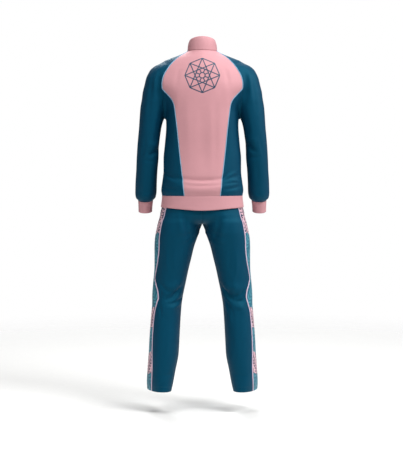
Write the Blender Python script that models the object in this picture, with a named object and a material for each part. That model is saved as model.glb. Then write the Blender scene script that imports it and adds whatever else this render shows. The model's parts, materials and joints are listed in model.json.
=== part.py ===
"""Tracksuit in its worn form with no wearer: a zipped jacket with raglan sleeves, and trousers with side panels.

Metres. +Z is up, the front faces -Y and the wearer's left is +X. The origin is the middle of the neck ring,
where the wearer's shoulders carry the jacket.
"""

import math

import bmesh
import bpy
import numpy as np
from mathutils import Matrix

# Cloth and seams
CLOTH = 0.0020  # wall of the body cloth
BAND = 0.0026  # wall of the doubled collar, cuffs, hem band and waistband
SEAM_GAP = 0.0004  # between two pieces that are sewn together
TIGHT_SEAM = 0.0006  # added to that gap under the arms and at the crotch, where the cloth turns sharply
PIPING_WIDTH = 0.0040
STRIPE_WIDTH = 0.0060
TRIM_THICKNESS = 0.0008
TRIM_LIFT = 0.0005  # from the panels up to the trim that lies over their seam

# Heights
HEM_SEAM = -0.6270
HEM_SIDE = -0.6760  # lower edge of the hem band at the side seams
HEM_BACK_DROP = 0.0130  # how much lower that edge is at the middle of the back
HEM_FRONT_DROP = 0.0060
CORNER = -0.1670  # where raglan seam, side seam and armhole meet
CUFF_SEAM = -0.6470
CUFF_END = -0.6970
WRIST_TILT = 14.0  # degrees the cuffs lean, square to the forearms
FRONT_NECK_DROP = 0.0550
COLLAR_RISE_BACK = 0.0600
COLLAR_RISE_FRONT = 0.0220
WAIST = -0.5050
WAISTBAND_SEAM = -0.5400
TROUSER_HEM = -1.4760

# Zip
ZIP_GAP = 0.0050  # from the middle to the edge of each front
ZIP_TEETH_HALF = 0.0030
ZIP_TAPE_HALF = 0.0140
ZIP_TAPE_THICKNESS = 0.0008
ZIP_TOP_INSET = 0.0045  # from the collar's edge down to the end of the tape
PULL_HINGE = 0.0035  # from the middle of the slider out to the axis that the pull tab swings on

# Blends where tubes of cloth run into each other
ARMPIT_BLEND = 0.024
CROTCH_BLEND = 0.013
HIP_BLEND = 0.016
ARMHOLE_LEAN = 0.06  # how much the sleeve's seam leans in under the arm

MIRROR = np.array([-1.0, 1.0, 1.0])


class Table:
    """Rows of sizes by height, read between the rows along a smooth curve that never overshoots them."""

    def __init__(self, *rows):
        rows = np.array(sorted(rows), float)
        self.at, self.values = rows[:, 0], rows[:, 1:]
        rise = np.diff(self.values, axis=0) / np.diff(self.at)[:, None]
        product, total = rise[1:] * rise[:-1], rise[1:] + rise[:-1]
        inner = np.where(product > 0, 2 * product / np.where(total == 0, 1, total), 0)
        self.slopes = np.vstack([rise[:1], inner, rise[-1:]])

    def __call__(self, height):
        height = np.clip(height, self.at[0], self.at[-1])
        i = np.clip(np.searchsorted(self.at, height) - 1, 0, len(self.at) - 2)
        step = self.at[i + 1] - self.at[i]
        u = ((height - self.at[i]) / step)[..., None]
        step = step[..., None]
        low, high = self.values[i], self.values[i + 1]
        value = (
            low * (1 + 2 * u) * (1 - u) ** 2
            + high * u * u * (3 - 2 * u)
            + step * self.slopes[i] * u * (1 - u) ** 2
            - step * self.slopes[i + 1] * u * u * (1 - u)
        )
        return np.moveaxis(value, -1, 0)


# Jacket body: height, half width, depth behind, depth in front, squareness
TORSO = Table(
    (0.040, 0.050, 0.054, 0.056, 2.00),
    (0.000, 0.065, 0.068, 0.068, 2.00),
    (-0.015, 0.095, 0.078, 0.075, 1.82),
    (-0.032, 0.139, 0.090, 0.083, 1.75),
    (-0.050, 0.177, 0.100, 0.090, 1.72),
    (-0.067, 0.204, 0.108, 0.098, 1.75),
    (-0.085, 0.219, 0.114, 0.105, 1.85),
    (-0.120, 0.226, 0.122, 0.116, 2.05),
    (-0.155, 0.214, 0.127, 0.124, 2.30),
    (-0.200, 0.180, 0.129, 0.130, 2.45),
    (-0.265, 0.156, 0.128, 0.133, 2.50),
    (-0.326, 0.157, 0.125, 0.133, 2.50),
    (-0.413, 0.164, 0.119, 0.129, 2.45),
    (-0.467, 0.169, 0.117, 0.125, 2.45),
    (-0.519, 0.169, 0.118, 0.123, 2.40),
    (-0.571, 0.175, 0.121, 0.124, 2.40),
    (-0.604, 0.179, 0.122, 0.123, 2.40),
    (-0.627, 0.176, 0.117, 0.117, 2.35),
    (-0.690, 0.183, 0.120, 0.113, 2.30),
)

# Sleeve and cuff: height, middle across, middle forward, half width, depth behind, depth in front
SLEEVE = Table(
    (-0.050, 0.145, 0.000, 0.004, 0.010, 0.010),
    (-0.066, 0.158, 0.000, 0.040, 0.050, 0.050),
    (-0.085, 0.168, 0.000, 0.053, 0.062, 0.062),
    (-0.120, 0.182, 0.001, 0.060, 0.072, 0.072),
    (-0.172, 0.196, 0.002, 0.062, 0.077, 0.077),
    (-0.207, 0.204, 0.002, 0.059, 0.077, 0.077),
    (-0.241, 0.212, 0.003, 0.057, 0.075, 0.075),
    (-0.276, 0.219, 0.003, 0.053, 0.073, 0.073),
    (-0.345, 0.229, 0.005, 0.048, 0.068, 0.068),
    (-0.415, 0.2365, 0.010, 0.047, 0.063, 0.061),
    (-0.467, 0.2395, 0.017, 0.0475, 0.060, 0.059),
    (-0.519, 0.243, 0.026, 0.0465, 0.058, 0.057),
    (-0.571, 0.2465, 0.037, 0.0468, 0.056, 0.055),
    (-0.612, 0.248, 0.046, 0.0468, 0.053, 0.052),
    (-0.634, 0.2490, 0.051, 0.0435, 0.047, 0.047),
    (-0.646, 0.2495, 0.054, 0.0335, 0.037, 0.037),
    (-0.700, 0.2515, 0.066, 0.0300, 0.034, 0.034),
    (-0.720, 0.2520, 0.070, 0.0298, 0.034, 0.034),
)
SLEEVE_TOP = -0.052

# Hips of the trousers: height, half width, depth behind, depth in front, squareness
HIPS = Table(
    (-0.500, 0.148, 0.103, 0.098, 2.20),
    (-0.545, 0.154, 0.107, 0.102, 2.20),
    (-0.628, 0.1674, 0.1080, 0.1030, 2.25),
    (-0.665, 0.1746, 0.1105, 0.1030, 2.25),
    (-0.681, 0.1781, 0.1110, 0.1030, 2.25),
    (-0.695, 0.1818, 0.1120, 0.1030, 2.25),
    (-0.708, 0.1835, 0.1115, 0.1020, 2.25),
    (-0.722, 0.1820, 0.1050, 0.0960, 2.20),
    (-0.736, 0.1760, 0.0950, 0.0870, 2.10),
    (-0.746, 0.1650, 0.0800, 0.0730, 2.00),
    (-0.756, 0.1500, 0.0580, 0.0520, 2.00),
)
HIPS_BOTTOM = -0.753

# Trouser leg: height, middle across, middle forward, half width, depth behind, depth in front, turn of the toes out
LEG = Table(
    (-0.655, 0.080, 0.000, 0.050, 0.070, 0.065, 0.0),
    (-0.700, 0.088, 0.000, 0.076, 0.092, 0.084, 0.0),
    (-0.722, 0.093, 0.000, 0.088, 0.101, 0.092, 0.0),
    (-0.744, 0.0985, 0.000, 0.0945, 0.106, 0.097, 0.0),
    (-0.779, 0.1045, 0.000, 0.0965, 0.106, 0.099, 0.0),
    (-0.813, 0.1145, 0.000, 0.0925, 0.101, 0.097, 0.0),
    (-0.848, 0.122, 0.000, 0.087, 0.096, 0.095, 0.0),
    (-0.900, 0.1285, 0.000, 0.0805, 0.090, 0.092, 0.0),
    (-0.953, 0.1355, 0.001, 0.0745, 0.085, 0.089, 0.0),
    (-1.005, 0.1435, 0.002, 0.0715, 0.081, 0.087, 0.0),
    (-1.057, 0.151, 0.002, 0.068, 0.079, 0.085, 0.0),
    (-1.109, 0.1555, -0.002, 0.0645, 0.080, 0.083, 1.0),
    (-1.179, 0.161, -0.007, 0.065, 0.083, 0.082, 2.5),
    (-1.248, 0.1655, -0.009, 0.0655, 0.085, 0.082, 5.0),
    (-1.318, 0.1695, -0.009, 0.065, 0.087, 0.083, 8.0),
    (-1.388, 0.179, -0.008, 0.060, 0.088, 0.084, 12.0),
    (-1.440, 0.1855, -0.007, 0.055, 0.090, 0.086, 15.0),
    (-1.480, 0.1895, -0.006, 0.0465, 0.091, 0.088, 18.0),
)
LEG_TOP = -0.660

# Seams of the back and of the fronts: height, distance from the middle
RAGLAN_BACK = Table((0.000, 0.061), (-0.034, 0.110), (-0.080, 0.149), (-0.122, 0.170), (-0.148, 0.1745), (CORNER, 0.1735))
RAGLAN_FRONT = Table((-0.004, 0.061), (-0.038, 0.108), (-0.084, 0.146), (-0.124, 0.168), (-0.148, 0.1735), (CORNER, 0.1735))
SIDE_SEAM = Table((-0.700, 0.072), (HEM_SEAM, 0.0775), (-0.440, 0.0980), (-0.250, 0.1175), (-0.224, 0.1250), (CORNER, 0.1735))

# Back edge of the trouser side panel: height, distance in from the leg's outline as seen from behind
STRIPE_INSET = Table(
    (-0.500, 0.022), (-0.628, 0.022), (-0.690, 0.021), (-0.744, 0.018), (-0.848, 0.022), (-0.909, 0.016),
    (-0.953, 0.009), (-0.983, 0.007), (-1.010, 0.014), (-1.045, 0.026), (-1.068, 0.028), (-1.090, 0.022),
    (-1.131, 0.015), (-1.179, 0.014), (-1.290, 0.016), (-1.388, 0.023), (-1.440, 0.024), (-1.480, 0.022),
)
# Width of that panel along the cloth: height, width
SIDE_PANEL_WIDTH = Table((-0.500, 0.100), (-0.760, 0.118), (-1.060, 0.110), (-1.480, 0.104))

# Largest folds: cloth, +1 behind or -1 in front, three points as (across, height), half width, height of the fold
JACKET_FOLDS = (
    # the body blouses over the hem band: one long trough round the back, its lip below, and the same in front
    ("waist fold, back", 1, (0.168, -0.535), (0.000, -0.588), (-0.168, -0.537), 0.0110, -0.0065),
    ("waist lip, back", 1, (0.150, -0.566), (0.000, -0.606), (-0.150, -0.568), 0.0160, 0.0045),
    ("waist fold, front", -1, (0.165, -0.540), (0.000, -0.580), (-0.165, -0.536), 0.0120, -0.0055),
    ("waist crease, left back", 1, (0.172, -0.585), (0.140, -0.603), (0.100, -0.602), 0.0070, -0.0030),
    ("waist crease, right back", 1, (-0.173, -0.581), (-0.135, -0.596), (-0.085, -0.600), 0.0072, -0.0034),
    ("drape from the shoulder blade, left", 1, (0.105, -0.150), (0.118, -0.300), (0.120, -0.430), 0.0200, 0.0030),
    ("drape from the shoulder blade, right", 1, (-0.100, -0.150), (-0.115, -0.300), (-0.125, -0.450), 0.0200, 0.0030),
    ("hollow of the back", 1, (0.000, -0.240), (-0.004, -0.380), (-0.012, -0.530), 0.0300, -0.0035),
    ("drape from the chest, left", -1, (0.080, -0.180), (0.095, -0.320), (0.100, -0.480), 0.0220, 0.0030),
    ("drape from the chest, right", -1, (-0.080, -0.180), (-0.098, -0.320), (-0.105, -0.480), 0.0220, 0.0030),
    ("armhole fold, left back", 1, (0.186, -0.105), (0.193, -0.165), (0.176, -0.235), 0.0140, -0.0085),
    ("armhole fold, right back", 1, (-0.189, -0.101), (-0.196, -0.165), (-0.178, -0.236), 0.0140, -0.0084),
    ("armhole fold, left front", -1, (0.184, -0.110), (0.192, -0.170), (0.177, -0.235), 0.0140, -0.0070),
    ("armhole fold, right front", -1, (-0.184, -0.111), (-0.192, -0.170), (-0.177, -0.236), 0.0140, -0.0069),
    ("elbow fold, left", 1, (0.186, -0.420), (0.206, -0.447), (0.234, -0.455), 0.0110, -0.0065),
    ("elbow fold, right", 1, (-0.184, -0.395), (-0.205, -0.425), (-0.236, -0.437), 0.0110, -0.0065),
    ("elbow pouch, left", 1, (0.192, -0.395), (0.215, -0.412), (0.240, -0.415), 0.0150, 0.0035),
    ("elbow pouch, right", 1, (-0.190, -0.370), (-0.214, -0.388), (-0.240, -0.395), 0.0150, 0.0035),
    ("elbow fold, left front", -1, (0.196, -0.405), (0.216, -0.440), (0.262, -0.452), 0.0120, -0.0055),
    ("elbow fold, right front", -1, (-0.196, -0.405), (-0.216, -0.440), (-0.262, -0.452), 0.0120, -0.0055),
    ("cuff blouse, left", 1, (0.214, -0.622), (0.248, -0.633), (0.284, -0.622), 0.0100, 0.0015),
    ("cuff blouse, right", 1, (-0.214, -0.622), (-0.248, -0.633), (-0.284, -0.622), 0.0100, 0.0015),
)
TROUSER_FOLDS = (
    ("knee fold, left", 1, (0.090, -1.022), (0.112, -1.062), (0.164, -1.078), 0.0115, -0.0095),
    ("knee pouch, left", 1, (0.086, -0.990), (0.130, -1.032), (0.178, -1.035), 0.0170, 0.0050),
    ("knee crease, left outer", 1, (0.176, -1.032), (0.190, -1.080), (0.186, -1.140), 0.0080, -0.0040),
    ("calf swell, left", 1, (0.110, -1.098), (0.135, -1.120), (0.165, -1.150), 0.0220, 0.0040),
    ("knee fold, right", 1, (-0.088, -1.030), (-0.120, -1.070), (-0.166, -1.060), 0.0115, -0.0095),
    ("knee pouch, right", 1, (-0.086, -0.998), (-0.128, -1.032), (-0.178, -1.026), 0.0170, 0.0050),
    ("knee crease, right inner", 1, (-0.098, -1.075), (-0.116, -1.110), (-0.112, -1.165), 0.0080, -0.0035),
    ("calf swell, right", 1, (-0.150, -1.085), (-0.178, -1.110), (-0.188, -1.150), 0.0160, 0.0035),
    ("seat fold, left", 1, (0.014, -0.772), (0.050, -0.805), (0.104, -0.800), 0.0150, -0.0045),
    ("seat fold, right", 1, (-0.014, -0.772), (-0.050, -0.805), (-0.104, -0.800), 0.0150, -0.0045),
    ("lap fold, left", -1, (0.014, -0.765), (0.060, -0.760), (0.130, -0.735), 0.0140, -0.0045),
    ("lap fold, right", -1, (-0.014, -0.765), (-0.060, -0.760), (-0.130, -0.735), 0.0140, -0.0045),
    ("shin fold, left", -1, (0.100, -1.110), (0.150, -1.135), (0.205, -1.112), 0.0150, -0.0045),
    ("shin fold, right", -1, (-0.100, -1.110), (-0.150, -1.135), (-0.205, -1.112), 0.0150, -0.0045),
    ("ankle break, left", -1, (0.150, -1.424), (0.205, -1.436), (0.240, -1.418), 0.0130, -0.0060),
    ("ankle break, right", -1, (-0.150, -1.424), (-0.205, -1.436), (-0.240, -1.418), 0.0130, -0.0060),
)


def oval(across, along, width, back, front, power):
    """How far points lie outside an upright tube of oval section, near enough in metres."""
    depth = np.where(along > 0, back, front)
    size = (np.abs(across / width) ** power + np.abs(along / depth) ** power) ** (1 / power)
    return (size - 1) * np.minimum(width, depth)


def joined(one, other, reach):
    """Two tubes run into each other, with a soft hollow where both surfaces are within reach."""
    near = np.maximum(reach - np.abs(one - other), 0)
    return np.minimum(one, other) - near * near / (4 * reach)


def jacket_skin(p):
    x, y, z = np.abs(p[..., 0]), p[..., 1], p[..., 2]
    width, back, front, power = TORSO(z)
    body = oval(x, y, width, back, front, power)
    # the forearm's rings lean square to it, so they are read from the table at a height that leans too
    along = z + math.tan(math.radians(WRIST_TILT)) * np.clip((-0.38 - z) / 0.20, 0, 1) * (y + SLEEVE(z)[1])
    middle, forward, half, behind, before = SLEEVE(along)
    sleeve = np.maximum(oval(x - middle, y + forward, half, behind, before, 2.15), z - SLEEVE_TOP)
    return joined(body, sleeve, ARMPIT_BLEND)


def trouser_skin(p):
    x, y, z = p[..., 0], p[..., 1], p[..., 2]
    width, back, front, power = HIPS(z)
    hips = np.maximum(oval(x, y, width, back, front, power), HIPS_BOTTOM - z)
    middle, forward, half, behind, before, turn = LEG(z)
    legs = []
    for side in (1, -1):
        dx, dy = side * x - middle, y + forward
        c, s = np.cos(np.radians(turn)), np.sin(np.radians(turn))
        leg = oval(dx * c + dy * s, dy * c - dx * s, half, behind, before, 2.2)
        legs.append(np.maximum(leg, z - LEG_TOP))
    return joined(joined(legs[0], legs[1], CROTCH_BLEND), hips, HIP_BLEND)


def reached(skin, start, direction, farthest, inside_of=None):
    """The points where rays that start inside the cloth first come out of it.

    Where a ray never does before it passes the plane |x| = inside_of, it stops where it comes nearest to the
    surface, which is the seam between two tubes."""
    start, direction = np.broadcast_arrays(start, direction)
    steps = np.linspace(0.002, farthest, 120)
    line = start[..., None, :] + direction[..., None, :] * steps[:, None]
    value = skin(line)
    if inside_of is not None:
        value = np.where(inside_of(line), value, -np.inf)
    out = value > 0
    first = np.argmax(out, axis=-1)
    never = ~out.any(axis=-1)
    first = np.where(never, np.argmax(value, axis=-1), np.maximum(first, 1))
    low, high = steps[np.maximum(first - 1, 0)], steps[first]
    for _ in range(18):
        mid = (low + high) / 2
        outside = skin(start + direction * mid[..., None]) > 0
        low, high = np.where(outside, low, mid), np.where(outside, mid, high)
    distance = np.where(never, steps[first], high)
    return start + direction * distance[..., None]


def slope(function, p, step=0.0008):
    """The gradient of a function of points."""
    parts = [
        (function(p + step * axis) - function(p - step * axis)) / (2 * step)
        for axis in np.eye(3)
    ]
    return np.stack(parts, -1)


def unit(v):
    return v / np.maximum(np.linalg.norm(v, axis=-1, keepdims=True), 1e-12)


class Cloth:
    """One garment: the skin it takes in wear, and the folds that lie on that skin."""

    def __init__(self, skin, folds):
        self.skin = skin
        self.folds = [self.laid(*fold[1:]) for fold in folds]

    def laid(self, side, start, middle, end, half_width, height):
        """A fold's line as points on the skin."""
        u = np.linspace(0, 1, 9)[:, None]
        line = (1 - u) ** 2 * np.array(start) + 2 * u * (1 - u) * np.array(middle) + u * u * np.array(end)
        inside = np.stack([line[:, 0], np.full(9, -0.01), line[:, 1]], -1)
        points = reached(self.skin, inside, np.array([0.0, side, 0.0]), 0.16)
        return points, half_width, height

    def lift(self, p):
        """How far the folds raise or sink the cloth at points of the skin."""
        total = np.zeros(p.shape[:-1])
        for points, half_width, height in self.folds:
            low, high = points.min(0) - 3 * half_width, points.max(0) + 3 * half_width
            near = ((p > low) & (p < high)).all(-1)
            if not near.any():
                continue
            q = p[near]
            starts, runs = points[:-1], np.diff(points, axis=0)
            u = ((q[:, None] - starts) * runs).sum(-1) / (runs * runs).sum(-1)
            u = np.clip(u, 0, 1)
            apart = np.linalg.norm(q[:, None] - (starts + u[..., None] * runs), axis=-1)
            nearest = np.argmin(apart, axis=1)
            row = np.arange(len(q))
            along = (nearest + u[row, nearest]) / len(runs)
            fade = np.sin(np.pi * np.clip(along, 0.02, 0.98)) ** 0.6
            total[near] += height * fade * np.exp(-((apart[row, nearest] / half_width) ** 2))
        return total

    def off(self, p):
        """How far points lie off the folded cloth, near enough."""
        return self.skin(p) - self.lift(p)

    def dressed(self, base):
        """Skin points with the folds in, and the outward normals there."""
        normal = unit(slope(self.skin, base))
        lift = self.lift(base)
        tilt = slope(self.lift, base)
        tilt -= (tilt * normal).sum(-1, keepdims=True) * normal
        return base + normal * lift[..., None], unit(normal - tilt)


JACKET = Cloth(jacket_skin, JACKET_FOLDS)
TROUSERS = Cloth(trouser_skin, TROUSER_FOLDS)


def patch(left, right, low, high):
    """A net of points between four edges, blended from them. Edges run low to high and left to right."""
    rows, columns = len(left), len(low)
    s = np.linspace(0, 1, rows)[:, None, None]
    t = np.linspace(0, 1, columns)[None, :, None]
    sides = (1 - t) * left[:, None] + t * right[:, None]
    ends = (1 - s) * low[None] + s * high[None]
    corners = (1 - s) * ((1 - t) * low[0] + t * low[-1]) + s * ((1 - t) * high[0] + t * high[-1])
    return sides + ends - corners


def pulled_in(net, closed=False, ends=True):
    """Moves the edges of a net half a seam's gap into the piece."""
    net = net.copy()
    pairs = [] if closed else [((slice(None), 0), (slice(None), 1)), ((slice(None), -1), (slice(None), -2))]
    if ends:
        pairs += [((0,), (1,)), ((-1,), (-2,))]
    for edge, inner in pairs:
        net[edge] += unit(net[inner] - net[edge]) * SEAM_GAP / 2
    return net


def material(name, colour, roughness=0.85, metallic=0.0):
    made = bpy.data.materials.new(name)
    made.use_nodes = True
    shader = made.node_tree.nodes["Principled BSDF"]
    shader.inputs["Base Color"].default_value = (*colour, 1.0)
    shader.inputs["Roughness"].default_value = roughness
    shader.inputs["Metallic"].default_value = metallic
    made.diffuse_color = (*colour, 1.0)
    return made


for old in list(bpy.data.objects):
    bpy.data.objects.remove(old)

PINK = material("pink knit", (0.62, 0.29, 0.31))
TEAL = material("teal knit", (0.010, 0.062, 0.115))
TEAL_PRINT = material("printed side panel", (0.06, 0.20, 0.27))
PALE_BLUE = material("pale blue piping", (0.38, 0.52, 0.63))
LILAC = material("lilac stripe", (0.52, 0.48, 0.60))
TAPE = material("zip tape", (0.55, 0.27, 0.29))
TEETH = material("zip teeth", (0.60, 0.30, 0.32), 0.45)
METAL = material("zip slider", (0.55, 0.56, 0.58), 0.35, 1.0)


def shape(name, points, faces, finish):
    """A mesh object from points and faces, shaded smooth but for its rims."""
    mesh = bpy.data.meshes.new(name)
    mesh.from_pydata([tuple(p) for p in points], [], faces)
    mesh.shade_smooth()
    mesh.set_sharp_from_angle(angle=math.radians(50))
    mesh.materials.append(finish)
    made = bpy.data.objects.new(name, mesh)
    bpy.context.scene.collection.objects.link(made)
    return made


def wall(name, points, normals, faces, thickness, finish):
    """A cloth wall: the outer faces, the same faces a thickness further in, and rims along the open edges."""
    count = len(points)
    inner = points - normals * thickness
    all_faces = [tuple(f) for f in faces] + [tuple(count + i for i in reversed(f)) for f in faces]
    directed = {(f[i], f[(i + 1) % len(f)]) for f in faces for i in range(len(f))}
    for a, b in sorted(directed):
        if (b, a) in directed:
            continue
        # two pieces at one seam split their rims the same way, so that the rims stay apart
        if (points[b] - points[a]) @ np.array([0.0, -0.11, 1.0]) > 0:
            all_faces += [(b, a, count + b), (a, count + a, count + b)]
        else:
            all_faces += [(b, a, count + a), (b, count + a, count + b)]
    return shape(name, np.vstack([points, inner]), all_faces, finish)


def net_faces(rows, columns, closed=False, flip=False):
    """Faces of a net of points stored row by row."""
    width = columns if closed else columns - 1
    faces = []
    for r in range(rows - 1):
        for c in range(width):
            d = (c + 1) % columns
            face = (r * columns + c, r * columns + d, (r + 1) * columns + d, (r + 1) * columns + c)
            faces.append(face[::-1] if flip else face)
    return faces


def split(cloth, points, quads):
    """Each quad as two triangles, along the diagonal that lies nearer to the cloth."""
    quads = np.array(quads)
    one = np.abs(cloth.off((points[quads[:, 0]] + points[quads[:, 2]]) / 2))
    other = np.abs(cloth.off((points[quads[:, 1]] + points[quads[:, 3]]) / 2))
    start = np.where(one <= other, 0, 1)
    row = np.arange(len(quads))
    corner = [quads[row, (start + i) % 4] for i in range(4)]
    faces = np.concatenate([np.stack(corner[:3], 1), np.stack([corner[0], corner[2], corner[3]], 1)])
    return [tuple(int(i) for i in face) for face in faces]


def panel(name, cloth, base, finish, thickness=CLOTH, closed=False, mirror=False):
    """A cloth wall from a net of skin points. Seen from outside, the net's columns run to the right.

    Returns the net as worn and its normals, for what lies on the panel."""
    if mirror:
        base = base * MIRROR
    points, normals = cloth.dressed(pulled_in(base, closed))
    rows, columns = base.shape[:2]
    faces = split(cloth, points.reshape(-1, 3), net_faces(rows, columns, closed, flip=mirror))
    wall(name, points.reshape(-1, 3), normals.reshape(-1, 3), faces, thickness, finish)
    return points, normals


# Seams of the jacket

SIDE_ROWS = np.array([
    HEM_SEAM, -0.6155, -0.603, -0.589, -0.577, -0.565, -0.553, -0.539, -0.517, -0.482, -0.440, -0.395, -0.345,
    -0.295, -0.250, -0.215, -0.189, CORNER,
])
RAGLAN_ROWS, ARMHOLE_ROWS = 7, 5
BACK_COLUMNS, SIDE_COLUMNS, FRONT_COLUMNS, SLEEVE_COLUMNS = 10, 10, 6, 16


def across_face(skin, x, z, side):
    """Skin points straight behind (side 1) or in front (side -1) of the middle plane."""
    start = np.stack([x, np.zeros_like(x), z], -1)
    return reached(skin, start, np.array([0.0, side, 0.0]), 0.16)


def turned(angle):
    """Level directions by angle, from the wearer's left round the back to the right."""
    return np.stack([np.cos(angle), np.sin(angle), np.zeros_like(angle)], -1)


def evenly(line, count):
    """The same line with its points evenly apart."""
    length = np.concatenate([[0], np.cumsum(np.linalg.norm(np.diff(line, axis=0), axis=1))])
    at = np.linspace(0, length[-1], count + 1)
    return np.stack([np.interp(at, length, line[:, i]) for i in range(3)], -1)


def fan(skin, centre, first, last, count):
    """Rows of skin points as seen from a centre each, every row running from one point to another."""
    a, b = unit(first - centre)[:, None], unit(last - centre)[:, None]
    between = np.arccos(np.clip((a * b).sum(-1, keepdims=True), -1, 1))
    t = np.linspace(0, 1, count + 1)[None, :, None]
    direction = (np.sin((1 - t) * between) * a + np.sin(t * between) * b) / np.sin(between)
    net = reached(skin, centre[:, None], direction, 0.24)
    net[:, 0], net[:, -1] = first, last
    return net


def neck_ring(angle):
    """Points of the neck seam by angle. It is level behind and at the sides and dips to the zip."""
    z = -FRONT_NECK_DROP * np.clip(-np.sin(angle), 0, 1) ** 2.2
    start = np.stack([0 * z, 0 * z, z], -1)
    return reached(jacket_skin, start, turned(angle), 0.22)


def neck_angle(x, side):
    """Where the neck seam is this far to the wearer's left, behind or in front."""
    angle = np.linspace(0, side * math.pi / 2, 400)
    distance = neck_ring(angle)[:, 0]
    return float(np.interp(x, distance[::-1], angle[::-1]))


NECK_AT_ZIP = neck_angle(ZIP_GAP, -1)
NECK_AT_FRONT_SEAM = neck_angle(float(RAGLAN_FRONT.values[-1, 0]), -1)
NECK_AT_BACK_SEAM = neck_angle(float(RAGLAN_BACK.values[-1, 0]), 1)


def neck_line(first, last, count):
    return neck_ring(np.linspace(first, last, count + 1))


def side_seam(side):
    """From the hem up to the corner at the armhole."""
    return across_face(jacket_skin, SIDE_SEAM(SIDE_ROWS)[0], SIDE_ROWS, side)


def raglan_seam(count, side):
    """From that corner up to the neck."""
    table, top = (RAGLAN_BACK, NECK_AT_BACK_SEAM) if side > 0 else (RAGLAN_FRONT, NECK_AT_FRONT_SEAM)
    end = neck_ring(np.array([top]))[0]
    z = np.linspace(CORNER, end[2], 160)
    line = across_face(jacket_skin, table(z)[0], z, side)
    line[-1] = end
    return evenly(line, count)


def armhole(count, side):
    """From the underarm point up to the corner, where the sleeve meets the side panel."""
    turn = np.linspace(0, math.pi / 2, 60)
    corner = side_seam(side)[-1]
    start = corner * np.array([1.0, 0.0, 1.0])
    direction = np.stack([-ARMHOLE_LEAN * np.cos(turn), side * np.sin(turn), -np.cos(turn)], -1)
    line = reached(jacket_skin, start, unit(direction), 0.16)
    line[-1] = corner
    return evenly(line, count)


def hem_ring(angle, z):
    start = np.stack([0 * angle, 0 * angle, z + 0 * angle], -1)
    return reached(jacket_skin, start, turned(angle), 0.22)


def along_fold(z, x):
    """How far the rows of a body panel bend away from level, to run with the folds above the hem."""
    near = np.clip(1 - np.abs(z + 0.562) / 0.062, 0, 1)
    return near * near * (3 - 2 * near) * np.interp(np.abs(x), [0.0, 0.084, 0.172], [-0.008, 0.0, 0.036])


# Panels of the jacket


def bent(net):
    """The same panel with the inner points of its rows moved to run with the folds above the hem."""
    z = net[1:-1, 1:-1, 2] + along_fold(net[1:-1, 1:-1, 2], net[1:-1, 1:-1, 0])
    angle = np.arctan2(net[1:-1, 1:-1, 1], net[1:-1, 1:-1, 0])
    low = z < CORNER - 0.12
    moved = reached(jacket_skin, np.stack([0 * z, 0 * z, z], -1), turned(angle), 0.22)
    net[1:-1, 1:-1] = np.where(low[..., None], moved, net[1:-1, 1:-1])
    return net


def back_net():
    edge = np.vstack([side_seam(1), raglan_seam(RAGLAN_ROWS, 1)[1:]])
    centre = edge * np.array([0.0, 0.0, 1.0])
    return bent(fan(jacket_skin, centre, edge, edge * MIRROR, BACK_COLUMNS))


def front_net():
    """The wearer's left front, from the zip to the seams."""
    edge = np.vstack([side_seam(-1), raglan_seam(RAGLAN_ROWS, -1)[1:]])
    top = neck_ring(np.array([NECK_AT_ZIP]))[0]
    z = np.interp(edge[:, 2], [HEM_SEAM, edge[-1, 2]], [HEM_SEAM, top[2]])
    zip_edge = across_face(jacket_skin, np.full_like(z, ZIP_GAP), z, -1)
    zip_edge[-1] = top
    centre = (edge + zip_edge) / 2 * np.array([0.0, 0.0, 1.0])
    net = bent(fan(jacket_skin, centre, zip_edge, edge, FRONT_COLUMNS))
    net[-1] = neck_line(NECK_AT_ZIP, NECK_AT_FRONT_SEAM, FRONT_COLUMNS)
    return net


def side_net():
    """The panel under the wearer's left arm, from its front seam to its back seam."""
    front, back = side_seam(-1), side_seam(1)
    half = SIDE_COLUMNS // 2
    high = np.vstack([armhole(half, -1)[::-1], armhole(half, 1)[1:]])
    angle = np.linspace(math.atan2(front[0, 1], front[0, 0]), math.atan2(back[0, 1], back[0, 0]), SIDE_COLUMNS + 1)
    low = hem_ring(angle, HEM_SEAM)
    flat = [np.stack([np.arctan2(e[:, 1], e[:, 0]), e[:, 2]], -1) for e in (front, back, low, high)]
    flat = patch(*flat)
    start = np.stack([0 * flat[..., 0], 0 * flat[..., 0], flat[..., 1]], -1)

    def under_arm(p):
        inward = p[..., 0] < front[-1, 0] + ARMHOLE_LEAN * (p[..., 2] - CORNER)
        return inward | (p[..., 2] < high[half, 2])

    net = reached(jacket_skin, start, turned(flat[..., 0]), 0.22, under_arm)
    net[:, 0], net[:, -1], net[0], net[-1] = front, back, low, high
    net = bent(net)
    net[-1, 1:-1] += unit(net[-2, 1:-1] - net[-1, 1:-1]) * TIGHT_SEAM
    return net


# Rows of the sleeve from the cuff up to the underarm, by height of their middle
SLEEVE_ROWS = np.array([
    CUFF_SEAM, -0.642, -0.636, -0.627, -0.612, -0.588, -0.556, -0.520, -0.486, -0.464, -0.448, -0.432, -0.412,
    -0.386, -0.356, -0.326, -0.296,
])


def ring(z, lean_in, lean_back, count):
    """A ring of points round a sleeve, from its inner side over the front and the outer side."""
    middle, forward = SLEEVE(z)[:2]
    angle = np.linspace(-math.pi, math.pi, count + 1)
    out = np.array([math.cos(lean_in), 0.0, math.sin(lean_in)])
    back = np.array([0.0, math.cos(lean_back), -math.sin(lean_back)])
    direction = np.cos(angle)[:, None] * out + np.sin(angle)[:, None] * back
    return reached(jacket_skin, np.array([middle, -forward, z]), direction, 0.12)


def lean(z):
    """How sleeve rings lean at a height: outer side up near the underarm, back down towards the wrist."""
    shoulder = np.clip((z + 0.45) / 0.18, 0, 1)
    wrist = np.clip((-0.38 - z) / 0.20, 0, 1)
    return math.radians(12) * shoulder, math.radians(WRIST_TILT) * wrist


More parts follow.
